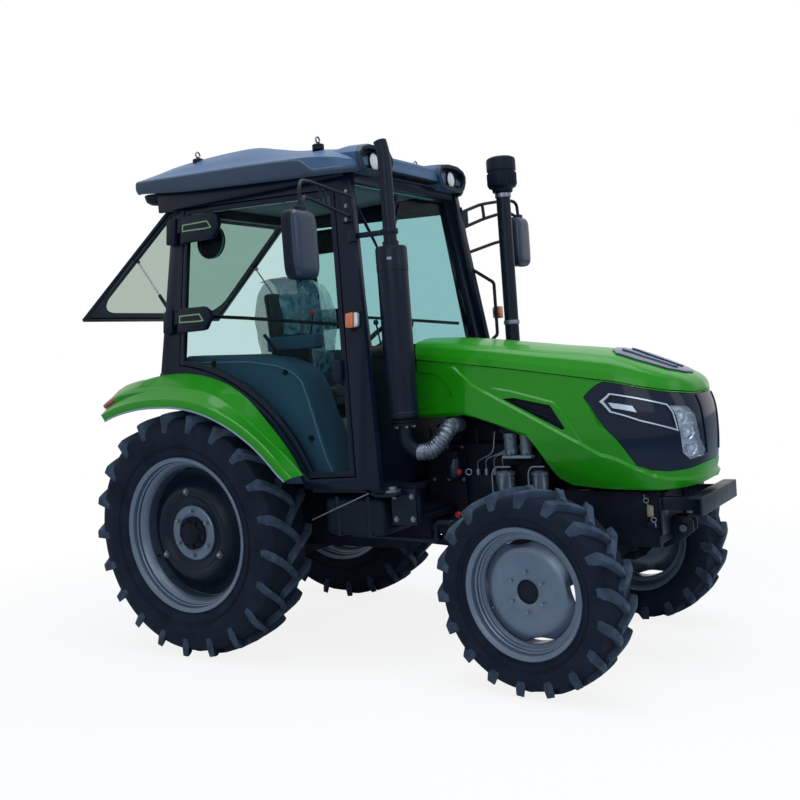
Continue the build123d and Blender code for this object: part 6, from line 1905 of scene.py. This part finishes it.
def makeTowBracket():
    plate = [(2.585, 0.640), (2.600, 0.735), (2.655, 0.765), (2.740, 0.765), (2.765, 0.735), (2.765, 0.690),
             (2.690, 0.625), (2.610, 0.595)]
    parts = []
    for side in (-1, 1):
        y0, y1 = sorted((side * 0.030, side * 0.044))
        parts.append(plateMesh("towPlate", plate, "y", y0, y1, blackPaint, 0.003))
    pin = [(0.0003, 0.0), (0.018, 0.0), (0.018, 0.010), (0.011, 0.012), (0.011, 0.150), (0.015, 0.152),
           (0.015, 0.160),
           (0.0003, 0.161)]
    parts.append(turned("towPin", pin, (2.722, -0.080, 0.706), (0, 1, 0), zinc, 28))
    for k in range(7):
        share = k / 6
        ring = ringProfile(0.012, 0.0032, 8)
        place = (2.600 + 0.050 * share, -0.286, 0.905 - 0.145 * share)
        parts.append(turned("latchLink", ring, place, (0.3, -1, 0) if k % 2 else (1, 0.3, 0), zinc, 20))
    parts.append(roundedBlock("latchSleeve", (2.612, -0.300, 0.800), (2.642, -0.272, 0.858), beige, 0.008))
    parts.append(roundedBlock("latchFoot", (2.590, -0.292, 0.740), (2.656, -0.258, 0.768), blackPaint, 0.004))
    parts.append(roundedBlock("latchTop", (2.588, -0.292, 0.900), (2.616, -0.240, 0.918), blackPaint, 0.004))
    settle(joined("towBracket", parts), "chassis", "black_paint")


def makeRadiator():
    core = roundedBlock("radiatorCore", (2.290, -0.235, 0.960), (2.340, 0.235, 1.430), castBlack, 0.004)
    parts = [core, roundedBlock("radiatorTop", (2.272, -0.252, 1.422), (2.358, 0.252, 1.468), blackPaint,
                                0.010),
             roundedBlock("radiatorLow", (2.272, -0.252, 0.928), (2.358, 0.252, 0.972), blackPaint, 0.010)]
    for k in range(24):
        y = -0.230 + 0.020 * k
        parts.append(roundedBlock("radiatorFin", (2.284, y, 0.970), (2.346, y + 0.004, 1.424), castBlack,
                                  0.001, 1))
    for side in (-1, 1):
        y0, y1 = sorted((side * 0.236, side * 0.253))
        parts.append(roundedBlock("radiatorSide", (2.275, y0, 0.950), (2.355, y1, 1.445), blackPaint, 0.003))
    settle(joined("radiatorMade", parts), "chassis", "black_paint", "radiator")


def makeRear():
    parts = []
    for y in (-0.075, -0.025, 0.025, 0.075):
        for z in (0.800, 0.855):
            plug = [(0.0003, 0.0), (0.017, 0.0), (0.017, 0.016), (0.014, 0.018), (0.014, 0.034),
                    (0.008, 0.036),
                    (0.008, 0.020), (0.0003, 0.020)]
            parts.append(turned("coupler", plug, (-0.499, y, z), (-1, 0, 0), zinc, 24))
    for side in (-1, 1):
        spots = []
        for k in range(8):
            turn = math.pi * (k + 0.5) / 4
            spots.append(((0.125 * math.cos(turn), side * 0.3, 0.738 + 0.125 * math.sin(turn)), (0, side, 0)))
        parts.append(boltRow("trumpetBolts", spots, 0.010, 0.014, zinc))
    settle(joined("rearDetails", parts), "chassis", "steel")


makeFilters()
makeEngine()
makeTank()
for name, material, slot, width in (
        ("cab_mounts", castBlack, "black_paint", 0.004), ("cab_steps", blackPaint, "black_paint", 0.002),
        ("front_bolster", castBlack, "cast", 0.010), ("ballast_carrier", blackPaint, "black_paint", 0.004),
        ("gearbox_housing", castBlack, "cast", 0.008), ("front_axle_beam", castBlack, "cast", 0.005),
        ("drawbar_frame", blackPaint, "black_paint", 0.004), ("rocker_housing", castBlack, "cast", 0.006),
        ("rear_axle_housing", castBlack, "cast", 0.006)):
    softened(name, material, "chassis", width)
for name, material, slot in (
        ("knuckle_left", castBlack, "cast"), ("knuckle_right", castBlack, "cast"),
                             ("tie_rod", blackPaint, "black_paint"),
        ("lift_arms", castBlack, "cast"), ("lift_rods", blackPaint, "steel"),
                             ("lower_links", blackPaint, "cast")):
    softened(name, material, name, 0.003)
softened("rear_window_frame", cabBlack, "rear_window", 0.003)
makeRadiator()
makeRear()
makeTowBracket()
print("engine side made")


plainNodes = {
    "cab_floor": blackPlastic, "headliner": headCloth, "pto_shaft": bareSteel,
              "window_strut_tubes": blackPaint,
    "window_strut_rods": bareSteel, "front_drive_shaft": blackPaint, "windscreen": screenGlass,
    "door_glass_left": doorGlass, "door_glass_right": doorGlass, "rear_window_glass": rearGlass,
    "hood_hinges": blackPaint}
for name, material in plainNodes.items():
    mesh = nodes[name].data
    mesh.materials.clear()
    mesh.materials.append(material)


def setCamera():
    place = Vector((4.2762 + axleX, -5.0804, 1.6594))
    yaw, pitch, roll = (math.radians(a) for a in (122.78, -2.13, -4.25))
    ahead = Vector((math.cos(pitch) * math.cos(yaw), math.cos(pitch) * math.sin(yaw), math.sin(pitch)))
    level = ahead.cross(Vector((0, 0, 1))).normalized()
    lift = level.cross(ahead)
    right = math.cos(roll) * level + math.sin(roll) * lift
    up = math.cos(roll) * lift - math.sin(roll) * level
    data = bpy.data.cameras.new("camera")
    data.sensor_width = 36
    data.lens = 44.48
    camera = linked("camera", data)
    basis = Matrix((right, up, -ahead)).transposed().to_4x4()
    camera.matrix_world = Matrix.Translation(place) @ basis
    bpy.context.scene.camera = camera


def setLight():
    world = bpy.data.worlds.new("studio")
    bpy.context.scene.world = world
    world.use_nodes = True
    tree = world.node_tree
    tree.nodes.clear()
    place = addNode(tree, "ShaderNodeTexCoord").outputs["Generated"]
    split = addNode(tree, "ShaderNodeSeparateXYZ", {"Vector": place})
    sky = addNode(tree, "ShaderNodeMapRange", {"Value": split.outputs["Z"], "From Min": -0.05,
                                               "From Max": 0.8})
    blend = addNode(tree, "ShaderNodeMix", {"Factor": sky.outputs[0]}, data_type="RGBA")
    blend.inputs["A"].default_value = (0.20, 0.25, 0.33, 1)
    blend.inputs["B"].default_value = (0.62, 0.80, 1.0, 1)
    soft = addNode(tree, "ShaderNodeBackground", {"Color": blend.outputs["Result"], "Strength": 0.55})
    white = addNode(tree, "ShaderNodeBackground", {"Strength": 1.0})
    white.inputs["Color"].default_value = (1, 1, 1, 1)
    rays = addNode(tree, "ShaderNodeLightPath")
    through = addNode(tree, "ShaderNodeMath", {0: rays.outputs["Is Transmission Ray"],
                                               1: rays.outputs["Is Glossy Ray"]},
                      operation="ADD")
    seen = addNode(tree, "ShaderNodeMath", {0: rays.outputs["Is Camera Ray"], 1: through.outputs[0]},
                   operation="ADD", use_clamp=True)
    pick = addNode(tree, "ShaderNodeMixShader", {0: seen.outputs[0], 1: soft.outputs[0], 2: white.outputs[0]})
    addNode(tree, "ShaderNodeOutputWorld", {"Surface": pick.outputs[0]})
    for name, place, size, power, color in (
            ("keyLamp", (2.5, -7.5, 4.5), 4.5, 110, (0.94, 0.97, 1.0)),
            ("skyLamp", (0.8, -0.5, 8.0), 6.0, 420, (0.90, 0.96, 1.0)),
            ("noseLamp", (8.0, -1.0, 4.5), 3.0, 60, (0.92, 0.96, 1.0))):
        data = bpy.data.lights.new(name, "AREA")
        data.size = size
        data.energy = power
        data.color = color
        lamp = linked(name, data)
        lamp.location = place
        lamp.rotation_euler = (Vector((0, 0, 1)) - Vector(place)).to_track_quat("-Z", "Y").to_euler()


def setFloor():
    # pale ground that keeps a soft shadow near the wheels and turns plain white further out
    mesh = bpy.data.meshes.new("floor")
    reach, shadowReach, shadowEnd = 40, 2.6, 5.0
    mesh.from_pydata([(-reach, -reach, 0), (reach, -reach, 0), (reach, reach, 0), (-reach, reach, 0)], [],
                     [(0, 1, 2, 3)])
    floor = linked("floor", mesh)
    material = bpy.data.materials.new("paleFloor")
    material.use_nodes = True
    tree = material.node_tree
    ground = tree.nodes["Principled BSDF"]
    ground.inputs["Base Color"].default_value = (0.90, 0.90, 0.90, 1)
    ground.inputs["Roughness"].default_value = 0.9
    white = addNode(tree, "ShaderNodeEmission", {"Strength": 1.0})
    white.inputs["Color"].default_value = (1, 1, 1, 1)
    place = addNode(tree, "ShaderNodeTexCoord").outputs["Object"]
    away = addNode(tree, "ShaderNodeVectorMath", {0: place}, operation="LENGTH")
    edge = addNode(tree, "ShaderNodeMapRange", {"Value": away.outputs["Value"], "From Min": shadowReach,
                                                "From Max": shadowEnd, "To Min": 0.86, "To Max": 1.0})
    rays = addNode(tree, "ShaderNodeLightPath")
    seen = addNode(tree, "ShaderNodeMath", {0: edge.outputs[0], 1: rays.outputs["Is Camera Ray"]},
                   operation="MULTIPLY")
    both = addNode(tree, "ShaderNodeMixShader",
                   {0: seen.outputs[0], 1: ground.outputs[0], 2: white.outputs[0]})
    tree.links.new(both.outputs[0], tree.nodes["Material Output"].inputs["Surface"])
    mesh.materials.append(material)


setCamera()
setLight()
setFloor()
view = bpy.context.scene.view_settings
view.view_transform = "Standard"
